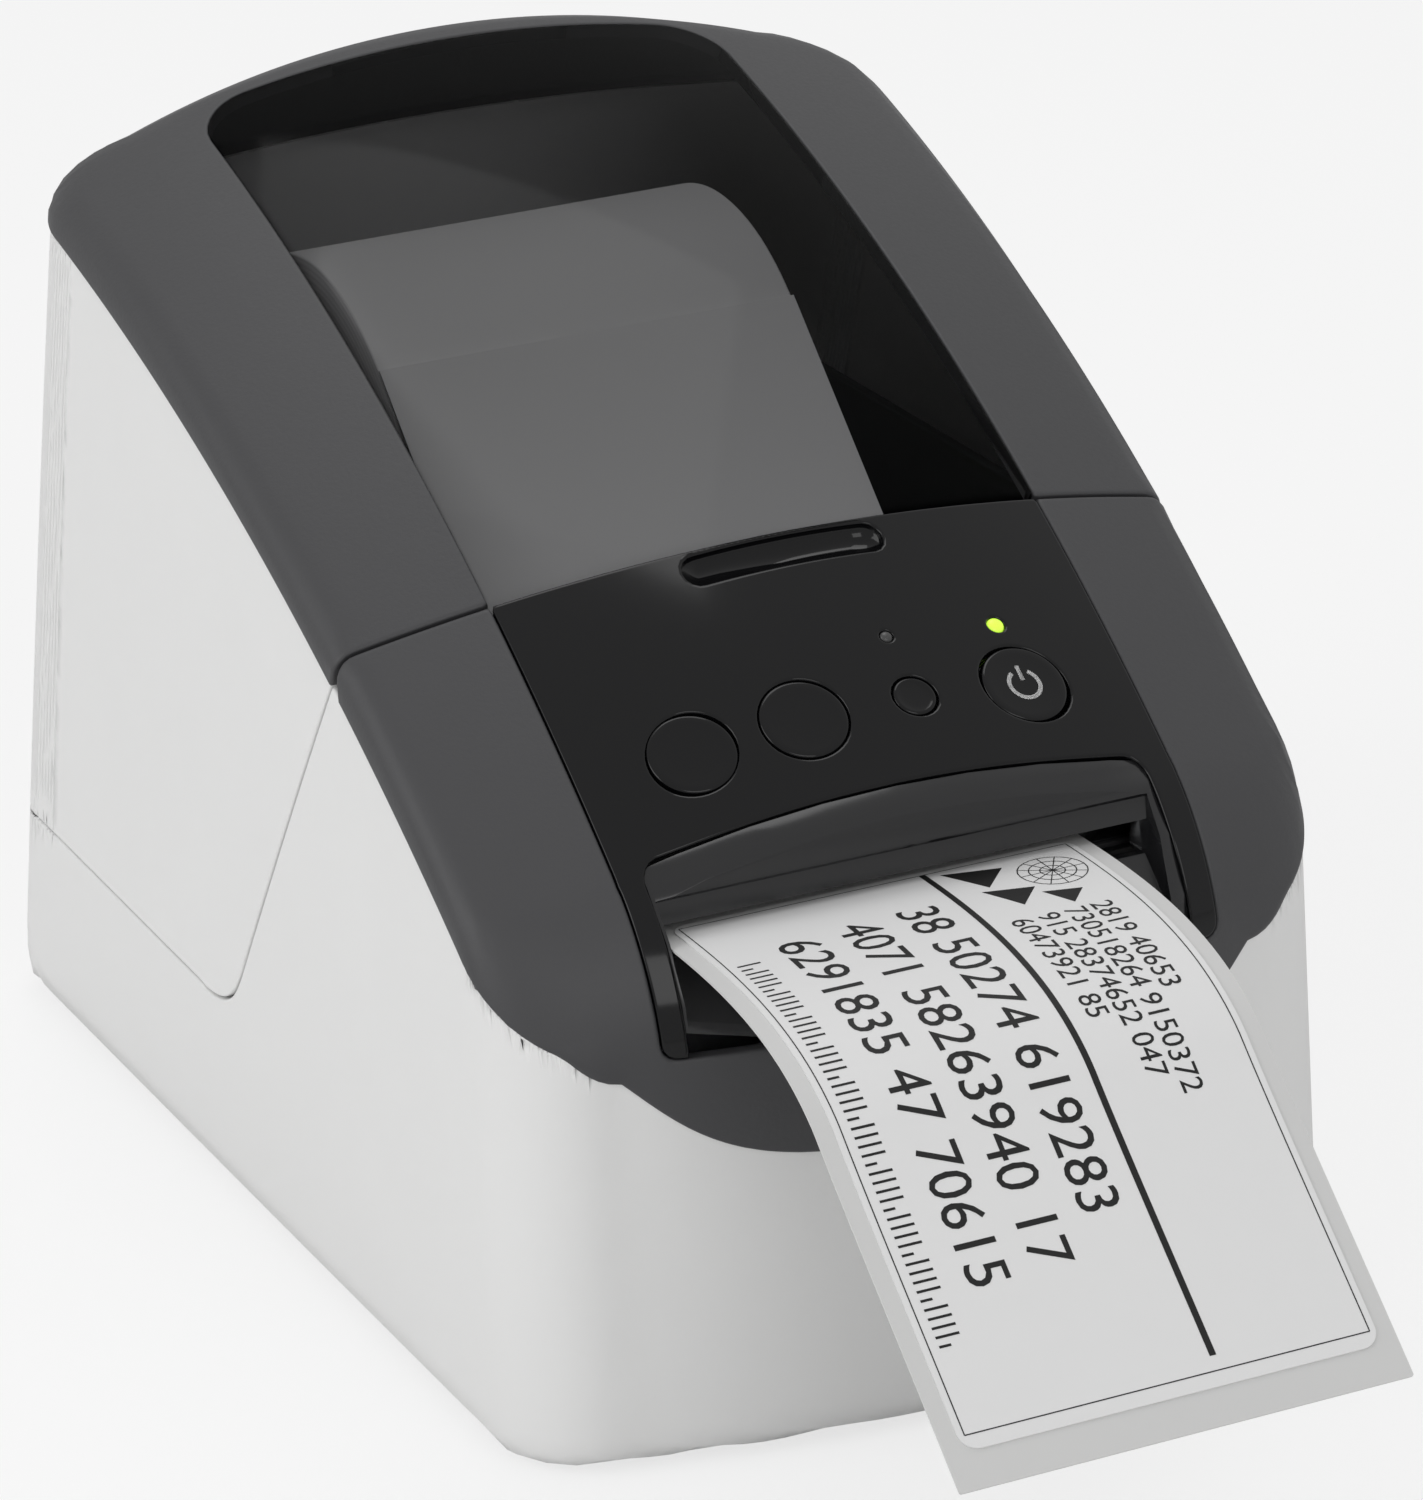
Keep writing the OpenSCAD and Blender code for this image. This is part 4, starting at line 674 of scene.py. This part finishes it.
# The dark top is four mouldings in one crowned surface: a grained frame on the cover and in
# front, a smoked window and a glossy key panel. All are drawn flat and folded over the edge.
crown = Blank(False, 0.0)
charcoal = plastic("charcoal_grain", (0.050, 0.050, 0.053), 0.50, 1500.0, 0.35, 0.45, 0.03)
piano_black = plastic("piano_black", (0.003, 0.003, 0.0035), 0.10, 500.0, 0.01, 0.30, 0.0)
gloss_half_w, panel_foot_z, window_y, window_r = 40.0, 57.47, 46.0, 8.0
recess_left, recess_right, recess_y, seam_end_x = -36.6, 35.6, 92.6, 60.2


def seam(x, gap=0.0):
    """Seen from above, the bowed line between the cover and the front."""
    return -seam_y - seam_bow * (1 - (np.asarray(x, float) / crown_half_w) ** 2) - gap


def top_places(x, y):
    """Flat places of points seen from above."""
    xy = np.stack(np.broadcast_arrays(x, y), 1).astype(float)
    return crown.unfold(xy, 2, xy * (0.985, 1))


def front_places(x, z):
    """Flat places of points seen from the front."""
    xz = np.stack(np.broadcast_arrays(x, z), 1).astype(float)
    return crown.unfold(xz, 1, xz + (0, -166))


def arc(cx, cy, r, start, end, n=8):
    """Points on an arc, its ends in degrees."""
    t = np.radians(np.linspace(start, end, n))
    return np.stack([cx + r * np.cos(t), cy + r * np.sin(t)], 1)


# Seen from above the seam meets the skirt at the side; from there the skirt runs to the back.
seam_x = np.linspace(gloss_half_w, seam_end_x, 20)
seam_flat = top_places(seam_x, seam(seam_x))
ring_crown = crown.surface(ring_i[:side_n], ring_j[:side_n], np.full(side_n, 8.0))
k_seam = np.interp(-seam_y + 0.2, ring_crown[:, 1], np.arange(side_n))
skirt_back = along_ring(crown, k_seam + 1.2, rear_middle, skirt_z)
window_corner = arc(gloss_half_w - window_r, window_y - window_r, window_r, 0, 90)
window_side = np.stack([np.full(30, gloss_half_w), np.linspace(seam(gloss_half_w), window_y - window_r, 30, False)], 1)
window_edge = np.concatenate([window_side, window_corner])
frame_outline = mirrored(np.concatenate([window_edge[::-1], seam_flat, skirt_back]))
cover_frame = mould("cover_frame", crown, frame_outline, rim=0.4, pitch=2.5)
dress(cover_frame, charcoal)
keep(cover_frame, "dark_band", "cover", "cover_top")

# The window is a smoked clear moulding; the roll shows through it.
inset_x = gloss_half_w - fit_gap
window_half = top_places(np.clip(window_edge[:, 0], 0, inset_x), window_edge[:, 1] - fit_gap)
front_x = np.linspace(0, inset_x, 30)
window_front = top_places(front_x, seam(front_x))
window_outline = mirrored(np.concatenate([window_front, window_half[1:], [[0.0, window_y - fit_gap]]]))


def smoked(name):
    """Clear plastic with a grey dye: dark where looked through, mirror-like on top."""
    material, tree = Shade.start(name)
    place = tree.node("ShaderNodeTexCoord", out=3)
    ripple = tree.node("ShaderNodeTexNoise", Vector=place, Scale=18.0, Detail=1.0)
    bump = tree.node("ShaderNodeBump", Height=ripple, Strength=0.05, Distance=0.0005)
    through = tree.node("ShaderNodeBsdfTransparent", Color=(0.70, 0.70, 0.71, 1))
    shine = tree.node("ShaderNodeBsdfPrincipled", Base_Color=(0.004, 0.004, 0.004, 1), Roughness=0.06, Normal=bump)
    facing = tree.node("ShaderNodeFresnel", IOR=1.5)
    mixed = tree.node("ShaderNodeMixShader", _0=facing + 0.02, _1=through, _2=shine)
    tree.output(mixed)
    return material


cover_pane = mould("cover_pane", crown, window_outline, rim=0.3, pitch=2.5)
dress(cover_pane, smoked("smoked_clear"))
keep(cover_pane, "smoked_window", "cover", "cover_window")

# The front frame is grained like the cover's and runs round the key panel and down the front.
foot_r = 1.9
panel_side = np.stack([np.full(24, gloss_half_w), np.linspace(seam(gloss_half_w, seam_gap), -90, 24)], 1)
panel_side_flat = top_places(panel_side[:, 0], panel_side[:, 1])
side_z = np.linspace(80.0, panel_foot_z + foot_r, 14)
panel_lower = front_places(np.full(14, gloss_half_w), side_z)
corner = arc(gloss_half_w - foot_r, panel_foot_z + foot_r, foot_r, 0, -90, 7)
corner_flat = front_places(corner[:, 0], corner[:, 1])
foot_x = np.linspace(gloss_half_w - foot_r, 0, 24)[1:]
foot_flat = front_places(foot_x, np.full(23, panel_foot_z))
keep_lower = panel_lower[:, 1] < panel_side_flat[-1, 1] - 0.5
panel_edge = np.concatenate([panel_side_flat, panel_lower[keep_lower], corner_flat, foot_flat])
band_foot = along_ring(crown, front_middle, k_seam - 0.6, band_line)
front_seam_x = seam_x[::-1]
front_seam = top_places(front_seam_x, seam(front_seam_x, seam_gap))
front_outline = mirrored(np.concatenate([band_foot, front_seam, panel_edge]))
front_frame = mould("front_frame", crown, front_outline, pitch=2.5)
dress(front_frame, charcoal)
keep(front_frame, "dark_band", "chassis", "front_bezel")

# The key panel is one glossy moulding with the keys' and lights' holes, a finger notch at its
# rear edge and two legs beside the label's exit.
key_y, light_row_y = 83.0, 75.0
power_x, mode_x = 24.0, 8.0
keys = [("feed", -power_x, 6.0), ("cut", -mode_x, 6.0), ("mode", mode_x, 3.0), ("power", power_x, 6.0)]
key_slope = math.atan((arc_y + key_y) / math.sqrt(arc_r ** 2 - (arc_y + key_y) ** 2))
squeeze = math.cos(key_slope)
key_holes = [disc_outline(x, 0, r + 0.2, 40) * (1, squeeze) + (0, -key_y) for _, x, r in keys]
lamp_holes = [
    disc_outline(x, 0, r, 24) * (1, squeeze) + (0, -light_row_y) for x, r in ((mode_x, 0.95), (power_x, 1.25))
]
notch_half_w, notch_y, notch_r, notch_depth = 14.5, 61.2, 2.1, 1.5
notch = np.concatenate([
    arc(notch_half_w - notch_r, -notch_y, notch_r, -90, 90, 12),
    arc(notch_r - notch_half_w, -notch_y, notch_r, 90, 270, 12),
])
rear_x = np.linspace(0, inset_x, 24)
panel_rear = top_places(rear_x, seam(rear_x, seam_gap))
side_out = np.concatenate([panel_side_flat, panel_lower[keep_lower]]) - (fit_gap, 0)
foot_out = arc(inset_x - foot_r, panel_foot_z + foot_r + fit_gap, foot_r, 0, -90, 7)
foot_out = front_places(foot_out[:, 0], foot_out[:, 1])


def recess_side(x, top_r):
    """The recess's side edge from the panel's foot up to the round corner at its top."""
    way = 1 if x > 0 else -1
    lower = front_places(x, np.linspace(panel_foot_z + fit_gap, 80.0, 20))
    upper = top_places(x, np.linspace(-98, -recess_y - top_r, 8))
    turn = arc(x - way * top_r, -recess_y - top_r, top_r, 0 if way > 0 else 180, 90, 6)
    turn = top_places(turn[:, 0], turn[:, 1])
    lower = lower[lower[:, 1] < upper[0, 1] - 0.5]
    return np.concatenate([lower, upper, turn])


right_leg = np.concatenate([side_out[1:], foot_out])
left_leg = (right_leg * (-1, 1))[::-1]
right_in = recess_side(recess_right, 2.5)
left_in = recess_side(recess_left, 2.5)[::-1]
panel_parts = [panel_rear, right_leg, right_in, left_in, left_leg, panel_rear[::-1][:-1] * (-1, 1)]
panel_holes = key_holes + lamp_holes
key_panel = mould(
    "key_panel", crown, np.concatenate(panel_parts), panel_holes, [(notch, notch_depth)], rim=0.32, pitch=2.5,
)
dress(key_panel, piano_black)
keep(key_panel, "gloss_black", "chassis", "control_panel")

# Keys are glossy caps that stand flush in the panel, each with a soft edge. Only the power key
# carries a mark: the common symbol, printed in white.


def cap_frame(x, y):
    """The place and turn of the panel's surface at that point."""
    tilt = Matrix.Rotation(math.atan((arc_y + y) / math.sqrt(arc_r ** 2 - (arc_y + y) ** 2)), 4, "X")
    roll = Matrix.Rotation(math.atan(2 * crown_h * x / crown_half_w ** 2 * math.cos(tilt.to_euler().x)), 4, "Y")
    return Matrix.Translation((x, -y, float(top_z(x, -y)))) @ tilt @ roll


def turned(profile, steps=64):
    """A closed body of revolution about Z from (radius, height) points that start and end on the axis."""
    bm = bmesh.new()
    line = [bm.verts.new((r, 0, z)) for r, z in profile]
    edges = [bm.edges.new((a, b)) for a, b in zip(line, line[1:])]
    bmesh.ops.spin(
        bm, geom=line + edges, cent=(0, 0, 0), axis=(0, 0, 1), angle=2 * math.pi, steps=steps, use_merge=True,
        use_duplicate=False,
    )
    bmesh.ops.remove_doubles(bm, verts=bm.verts, dist=1e-4)
    bmesh.ops.recalc_face_normals(bm, faces=bm.faces)
    return bm


def placed(name, bm, where):
    """The bmesh, drawn in millimetres, put in place as a finished piece."""
    bmesh.ops.transform(bm, matrix=Matrix.Scale(MM, 4) @ where, verts=bm.verts)
    return finish_piece(name, bm)


white_print = plastic("white_print", (0.78, 0.78, 0.78), 0.5, 900.0, 0.02, 0.3, 0.01)
for key, x, r in keys:
    cap = turned([
        (0, -0.22), (r * 0.5, -0.20), (r * 0.8, -0.15), (r - 0.45, -0.10), (r - 0.2, -0.16), (r - 0.06, -0.3),
        (r, -0.5), (r, -2.4), (r + 0.35, -2.5), (r + 0.35, -3.1), (1.6, -3.2), (1.6, -4.2), (0, -4.2),
    ])
    cap_piece = dress(placed(key + "_cap", cap, cap_frame(x, key_y)), piano_black)
    keep(cap_piece, "gloss_black", key + "_key", key + "_button")

mark = bmesh.new()
mark_z, mark_gap, mark_steps = -0.17, 32, 40
for n in range(mark_steps + 1):
    t = math.radians(90 + mark_gap + (360 - 2 * mark_gap) * n / mark_steps)
    pair = [mark.verts.new((q * math.cos(t), q * math.sin(t), mark_z)) for q in (1.9, 2.5)]
    if n:
        mark.faces.new((last[0], last[1], pair[1], pair[0]))
    last = pair
mark.faces.new([mark.verts.new((x, y, mark_z)) for x, y in ((-0.3, 0.6), (0.3, 0.6), (0.3, 3.0), (-0.3, 3.0))])
bmesh.ops.solidify(mark, geom=mark.faces[:], thickness=0.05)
bmesh.ops.recalc_face_normals(mark, faces=mark.faces)
power_mark = dress(placed("power_mark", mark, cap_frame(power_x, key_y)), white_print)
keep(power_mark, "gloss_black", "power_key")


def glow(name, colour, strength):
    """A light pipe's face: clear plastic that shines evenly."""
    material, tree = Shade.start(name)
    place = tree.node("ShaderNodeTexCoord", out=3)
    grain = tree.node("ShaderNodeTexNoise", Vector=place, Scale=800.0)
    lit = tree.mix(grain, colour, tinted(colour, 1.15))
    tree.principled(Base_Color=lit, Roughness=0.3, Emission_Color=lit, Emission_Strength=strength)
    return material


for light, slot, x, r, material in (
    ("status", "green_light", power_x, 1.2, glow("lit_green", (0.50, 0.85, 0.06), 0.75)),
    ("mode", "clear_light", mode_x, 0.9, glow("unlit_lens", (0.05, 0.05, 0.05), 0.0)),
):
    lens = turned([(0, 0.12), (r * 0.6, 0.06), (r * 0.9, -0.12), (r, -0.4), (r, -3.2), (0, -3.2)], 32)
    lens_piece = dress(placed(light + "_lens", lens, cap_frame(x, light_row_y)), material)
    keep(lens_piece, slot, "chassis", light + "_light")

# The mouth of the label's exit is a glossy moulding: a hood with a step over the slot, a floor
# that slopes to the front, a thin left cheek and a flared right one.
dark_gloss = plastic("dark_gloss", (0.012, 0.012, 0.013), 0.16, 500.0, 0.02, 0.5, 0.0)


def crisp(piece, angle):
    """Keeps the edges that turn by more than that angle sharp in the shading."""
    piece.modifiers.new("crisp", "EDGE_SPLIT").split_angle = angle
    return piece


def softened(node, width, material):
    """A copy of a CAD node with its corners merged and its sharp edges rounded."""
    bm = bmesh.new()
    bm.from_mesh(nodes[node].data)
    bmesh.ops.remove_doubles(bm, verts=bm.verts, dist=1e-6)
    bmesh.ops.dissolve_limit(bm, angle_limit=0.02, use_dissolve_boundaries=False, verts=bm.verts, edges=bm.edges)
    sharp = [e for e in bm.edges if len(e.link_faces) == 2 and e.calc_face_angle() > 0.6]
    bmesh.ops.bevel(
        bm, geom=sharp, affect="EDGES", offset=width * MM, segments=2, profile=0.5, material=-1,
        clamp_overlap=True, loop_slide=True,
    )
    return dress(crisp(finish_piece(node + "_soft", bm), 0.75), material)


keep(softened("exit_chute", 0.3, dark_gloss), "gloss_black", "chassis", "exit_chute")

# The roll is wound label tape: smooth outside, fine rings on its ends. Its spool and the two
# forked guides are dark mouldings in a round trough.
roll_y, roll_z, roll_r, core_r, tape_l, tape_r = 14.0, 97.0, 35.5, 12.5, -35.8, 26.2


turn_t, end_depth, round_over_r = 0.0009, 0.3, 0.25


def paper(name, colour, wound=False):
    """Coated paper: nearly even, with fibre cloud and, on a roll's ends, the edges of its turns."""
    material, tree = Shade.start(name)
    place = tree.node("ShaderNodeTexCoord", out=3)
    cloud = tree.node("ShaderNodeTexNoise", Vector=place, Scale=220.0, Detail=4.0)
    height = cloud
    tone = tree.mix(cloud, tinted(colour, 0.985), colour)
    if wound:
        split = tree.node("ShaderNodeSeparateXYZ", Vector=place)
        outs = split.socket.node.outputs
        y = Shade(tree.tree, outs["Y"]) - roll_y * MM
        z = Shade(tree.tree, outs["Z"]) - roll_z * MM
        radius = tree.maths("SQRT", y * y + z * z)
        line = tree.maths("SINE", radius * (2 * math.pi / turn_t)) * 0.5 + 0.5
        x = Shade(tree.tree, outs["X"])
        left_end = tree.maths("LESS_THAN", x, (tape_l + end_depth) * MM)
        on_end = tree.maths("MAXIMUM", left_end, tree.maths("GREATER_THAN", x, (tape_r - end_depth) * MM))
        tone = tree.mix(line * on_end * 0.35, tone, tinted(colour, 0.55))
        height = cloud * 0.3 + line * on_end
    bump = tree.node("ShaderNodeBump", Height=height, Strength=0.08, Distance=0.0002)
    tree.principled(Base_Color=tone, Roughness=cloud * 0.1 + 0.5, Normal=bump, Specular_IOR_Level=0.3)
    return material


roll_paper = paper("wound_label_tape", (0.80, 0.80, 0.79), True)
shoulder_r = roll_r - round_over_r
wound = turned([
    (core_r, tape_l), (core_r, tape_r), (shoulder_r, tape_r), (roll_r, tape_r - round_over_r),
    (roll_r, tape_l + round_over_r), (shoulder_r, tape_l), (core_r, tape_l),
], 128)
lay = Matrix.Translation((0, roll_y, roll_z)) @ Matrix.Rotation(math.radians(90), 4, "Y")
roll_piece = dress(crisp(placed("tape_roll", wound, lay), 0.9), roll_paper)
keep(roll_piece, "label_paper", "spool", "label_roll")
dark_plastic = plastic("dark_inner_moulding", (0.030, 0.030, 0.032), 0.45, 900.0, 0.12, 0.45, 0.02)
for node, width, body in (
    ("roll_spool", 0.4, "spool"), ("spool_guide_left", 0.4, "chassis"), ("spool_guide_right", 0.4, "chassis"),
    ("roll_tub", 0.4, "chassis"), ("base_pan", 0.5, "chassis"), ("cutter_guides", 0.2, "chassis"),
    ("print_head", 0.25, "head"),
):
    keep(softened(node, width, dark_plastic), "inner_plastic", body, node)

# The label leaves the slot flat, then curls down. It lies on its grey backing, which is a
# little wider; both are sheets swept along the same line.
cut_y, exit_gap, tape_z, reach_l, fall_l, liner_t, label_t = 87.0, 1.4, 70.0, 89.6, 42.0, 0.3, 0.2
steps = [(0, 0), (0.24, 0.015), (0.46, 0.015), (0.592, -0.226), (0.69, -0.43), (0.86, -0.73), (1, -1)]
knots = [(-cut_y - exit_gap - reach_l * a, tape_z + fall_l * b) for a, b in steps]
label_line = np.concatenate([bezier(*knots[:4], 60), bezier(*knots[3:], 60)[1:]])
label_way = np.gradient(label_line, axis=0)
label_way /= np.linalg.norm(label_way, axis=1)[:, None]
label_run = np.concatenate([[0], np.cumsum(np.linalg.norm(np.diff(label_line, axis=0), axis=1))])


def on_label(x, run, lift):
    """Points of the curled label: across, along its length from the cutter, and above its middle."""
    run, lift = np.asarray(run, float), np.asarray(lift, float)
    y, z = (np.interp(run, label_run, label_line[:, a]) for a in (0, 1))
    dy, dz = (np.interp(run, label_run, label_way[:, a]) for a in (0, 1))
    size = np.hypot(dy, dz)
    return np.stack([np.asarray(x, float), y + lift * dz / size, z - lift * dy / size], 1) * MM


def curl(bm):
    """Lays a flat bmesh (across, along, up) on the curled label."""
    co = np.array([v.co[:] for v in bm.verts])
    for v, p in zip(bm.verts, on_label(*co.T)):
        v.co = p


def curled(name, bm):
    """A sheet of the label, curled and finished."""
    curl(bm)
    bmesh.ops.recalc_face_normals(bm, faces=bm.faces)
    return crisp(finish_piece(name, bm), 0.9)


bend_pitch = 1.5


def cut_across(bm, start, end):
    """Edges across a flat shape, close enough together for it to follow the curl."""
    for cut in np.arange(start, end, bend_pitch):
        geom = bm.verts[:] + bm.edges[:] + bm.faces[:]
        bmesh.ops.bisect_plane(bm, geom=geom, dist=1e-4, plane_co=(0, cut, 0), plane_no=(0, 1, 0))


def sheet(x0, x1, s0, s1, r, low, high):
    """A flat sheet with round corners, cut across along its length."""
    bm = bmesh.new()
    corners = ((x1 - r, s1 - r, 0), (x0 + r, s1 - r, 90), (x0 + r, s0 + r, 180), (x1 - r, s0 + r, 270))
    ring = np.concatenate([arc(x, s, r, start, start + 90) for x, s, start in corners])
    face = bm.faces.new([bm.verts.new((x, s, low)) for x, s in ring])
    made = bmesh.ops.extrude_face_region(bm, geom=[face])["geom"]
    bmesh.ops.translate(bm, vec=(0, 0, high - low), verts=[g for g in made if isinstance(g, bmesh.types.BMVert)])
    cut_across(bm, s0 + bend_pitch, s1)
    return bm


label_margin, label_start_y, end_inset, liner_top = 2.4, 94, 0.02, liner_t / 2
run_end = float(np.interp(cut_y + reach_l * 0.975, -label_line[:, 0], label_run))
run_start = label_start_y - cut_y - exit_gap
label_x0, label_x1 = tape_l + label_margin, tape_r - label_margin
backing_end = float(label_run[-1]) - end_inset
backing = curled("label_backing", sheet(tape_l, tape_r, end_inset, backing_end, 0.3, -liner_top, liner_top))
dress(backing, paper("glazed_backing", (0.66, 0.66, 0.655)))
keep(backing, "liner_paper", "chassis", "cut_liner")
label_top = liner_top + label_t
label_face = curled("label_face", sheet(label_x0, label_x1, run_start, run_end, 2.5, liner_top, label_top))
dress(label_face, paper("white_label", (0.80, 0.80, 0.80)))
keep(label_face, "label_paper", "chassis", "printed_label")

# The print is thermal black: a frame line, a thick rule, three large and four small rows of
# plain figures, a row of ticks and a made-up motif of triangles beside a wheel.
ink = plastic("thermal_black", (0.012, 0.012, 0.012), 0.55, 700.0, 0.02, 0.3, 0.0)
ink_z = label_top + 0.03
ink_bm = bmesh.new()


def ink_polygon(points):
    """A filled flat shape on the label."""
    ink_bm.faces.new([ink_bm.verts.new((x, s, ink_z)) for x, s in points])


def ink_stroke(x0, s0, x1, s1, w):
    """A straight stroke of that width, cut short enough to follow the curl."""
    length = math.hypot(x1 - x0, s1 - s0)
    ux, us = (x1 - x0) / length, (s1 - s0) / length
    pieces = max(int(abs(s1 - s0) / bend_pitch), 1)
    for n in range(pieces):
        a, b = length * n / pieces, length * (n + 1) / pieces
        sides = ((a, w / 2), (b, w / 2), (b, -w / 2), (a, -w / 2))
        ink_polygon([(x0 + ux * d - us * h, s0 + us * d + ux * h) for d, h in sides])


def figures(text, x, s, size):
    """A row of plain figures that runs along the label, its foot towards the left."""
    curve = bpy.data.curves.new("row_of_figures", "FONT")
    curve.body = text
    curve.size = size
    curve.resolution_u = 3
    made = bpy.data.objects.new("row_of_figures", curve)
    bpy.context.scene.collection.objects.link(made)
    bpy.context.view_layer.update()
    flat = bpy.data.meshes.new_from_object(made)
    bpy.data.objects.remove(made)
    row = bmesh.new()
    row.from_mesh(flat)
    bpy.data.meshes.remove(flat)
    # the row's own x runs along the label and its up side points to the right
    turned_row = Matrix(((0, 1, 0, x), (1, 0, 0, s), (0, 0, 1, ink_z), (0, 0, 0, 1)))
    bmesh.ops.transform(row, matrix=turned_row, verts=row.verts)
    cut_across(row, s, s + size * len(text))
    for f in row.faces:
        ink_bm.faces.new([ink_bm.verts.new(v.co) for v in f.verts])
    row.free()


frame_l, frame_r, frame_s0, frame_s1 = label_x0 + 0.9, label_x1 - 0.9, run_start + 1.2, run_end - 2.0
hairline, rule_w, rule_x = 0.16, 0.9, 2.0
for x in (frame_l, frame_r):
    ink_stroke(x, frame_s0, x, frame_s1, hairline)
for s in (frame_s0, frame_s1):
    ink_stroke(frame_l, s, frame_r, s, hairline)
ink_stroke(rule_x, frame_s0, rule_x, frame_s1 - 2, rule_w)
large_x, large_size, small_size = -6.8, 8.2, 4.3
for text, x in (("38 50274 619283", large_x), ("4071 58263940 17", -15.6), ("6291835 47 70615", -24.4)):
    figures(text, x, run_start + 10.5 - (x - large_x) * 0.1, large_size)
for text, x in (("2819 40653", 16.4), ("730518264 9150372", 12.6), ("915 28374652 047", 8.8), ("60473921 85", 5.0)):
    figures(text, x, run_start + 20.0, small_size)
tick_x, tick_w, tick_pitch = -31.2, 0.35, 1.25
for n in range(52):
    tick_end = tick_x + (3.2 if (n * n + 3 * n) % 5 in (0, 3) else 1.6)
    s = run_start + 16 + n * tick_pitch
    ink_polygon([(tick_x, s), (tick_x, s + tick_w), (tick_end, s + tick_w), (tick_end, s)])
wheel_x, wheel_s, wheel_r = 17.2, run_start + 8.6, 4.6
for r in (wheel_r, wheel_r * 0.68, wheel_r * 0.36):
    ring = arc(wheel_x, wheel_s, r, 0, 360, 25)
    for a, b in zip(ring, ring[1:]):
        ink_stroke(*a, *b, hairline)
for n in range(6):
    dx, ds = wheel_r * math.cos(math.pi * n / 6), wheel_r * math.sin(math.pi * n / 6)
    ink_stroke(wheel_x - dx, wheel_s - ds, wheel_x + dx, wheel_s + ds, 0.14)
for cx, cs, size in ((8.0, run_start + 5.6, 4.0), (9.4, run_start + 13.2, 3.4), (15.4, run_start + 16.2, 2.6)):
    ink_polygon([(cx - size, cs - size * 0.8), (cx + size, cs - size * 0.3), (cx - size * 0.1, cs + size)])
bmesh.ops.remove_doubles(ink_bm, verts=ink_bm.verts, dist=1e-4)
for f in ink_bm.faces:
    f.normal_update()
bmesh.ops.reverse_faces(ink_bm, faces=[f for f in ink_bm.faces if f.normal.z < 0])
curl(ink_bm)
label_print = dress(finish_piece("label_print", ink_bm, False), ink)
keep(label_print, "label_paper", "chassis")

# Metal and the hidden works: zinc-plated plates and rods, ground blades, natural nylon gears,
# zinc motor cans, a rubber platen and green boards.


def metal(name, colour, rough, along=None, specks=0.04):
    """Metal with fine brushed lines along one axis or an even satin."""
    material, tree = Shade.start(name)
    place = tree.node("ShaderNodeTexCoord", out=3)
    scale = (1.0, 1.0, 1.0) if along is None else tuple(0.04 if a == along else 1.0 for a in range(3))
    stretched = tree.node("ShaderNodeMapping", Vector=place, Scale=scale)
    lines = tree.node("ShaderNodeTexNoise", Vector=stretched, Scale=1800.0, Detail=3.0)
    tone = tree.mix(lines, tinted(colour, 1 - specks), tinted(colour, 1 + specks))
    bump = tree.node("ShaderNodeBump", Height=lines, Strength=0.08, Distance=0.0001)
    tree.principled(Base_Color=tone, Roughness=rough + (lines - 0.5) * 0.15, Metallic=1.0, Normal=bump)
    return material


zinc = metal("zinc_plate", (0.56, 0.57, 0.60), 0.38, 1)
ground_steel = metal("ground_steel", (0.60, 0.61, 0.63), 0.22, 0)
can_metal = metal("zinc_can", (0.42, 0.43, 0.45), 0.42)
gear_nylon = plastic("natural_nylon", (0.72, 0.71, 0.65), 0.45, 600.0, 0.06, 0.45, 0.02)
soft_rubber = plastic("ground_rubber", (0.022, 0.022, 0.023), 0.72, 1400.0, 0.25, 0.3, 0.05)
inlet_plastic = plastic("inlet_moulding", (0.018, 0.018, 0.018), 0.4, 900.0, 0.08, 0.45, 0.02)
tape_paper = paper("label_tape_inside", (0.80, 0.80, 0.79))


def circuit(name):
    """Solder mask with tracks: squares of slightly different green."""
    material, tree = Shade.start(name)
    place = tree.node("ShaderNodeTexCoord", out=3)
    tracks = tree.node(
        "ShaderNodeTexBrick", Vector=place, Scale=160.0,
        Color1=(0.010, 0.085, 0.035, 1), Color2=(0.012, 0.10, 0.045, 1), Mortar=(0.02, 0.16, 0.07, 1),
    )
    tree.principled(Base_Color=tracks, Roughness=0.35)
    return material


solder_mask = circuit("solder_mask")
works = [
    (zinc, 0.15, "steel_parts", ["side_frame_left", "side_frame_right", "frame_bridge", "usb_port"]),
    (ground_steel, 0.1, "steel_parts", [
        "platen_shaft", "idler_axle", "motor_pinion", "head_pivot", "fixed_blade", "moving_blade", "hinge_pins",
        "base_screws",
    ]),
    (gear_nylon, 0.12, "nylon", ["platen_gear", "platen_bushes", "idler_gear", "cutter_crank"]),
    (can_metal, 0.5, "motor_cans", ["feed_motor", "cutter_motor"]),
    (soft_rubber, 0.4, "feet_rubber", ["rubber_feet"]),
    (soft_rubber, 0.2, "platen_rubber", ["platen_roller"]),
    (solder_mask, 0.1, "circuit_board", ["button_board", "main_board"]),
    (can_metal, 0.6, "supply_case", ["power_supply"]),
    (inlet_plastic, 0.25, "inlet_black", ["power_inlet"]),
    (charcoal, 0.2, "dark_band", ["cover_latches"]),
]
body_of_node = {node: body for body, group in frame["record"]["behaviour"]["bodies"].items() for node in group}
for material, width, slot, names in works:
    for node in names:
        keep(softened(node, width, material), slot, body_of_node[node], node)
for node, material in (("head_spring", ground_steel), ("label_tape", tape_paper)):
    dress(nodes[node], material)
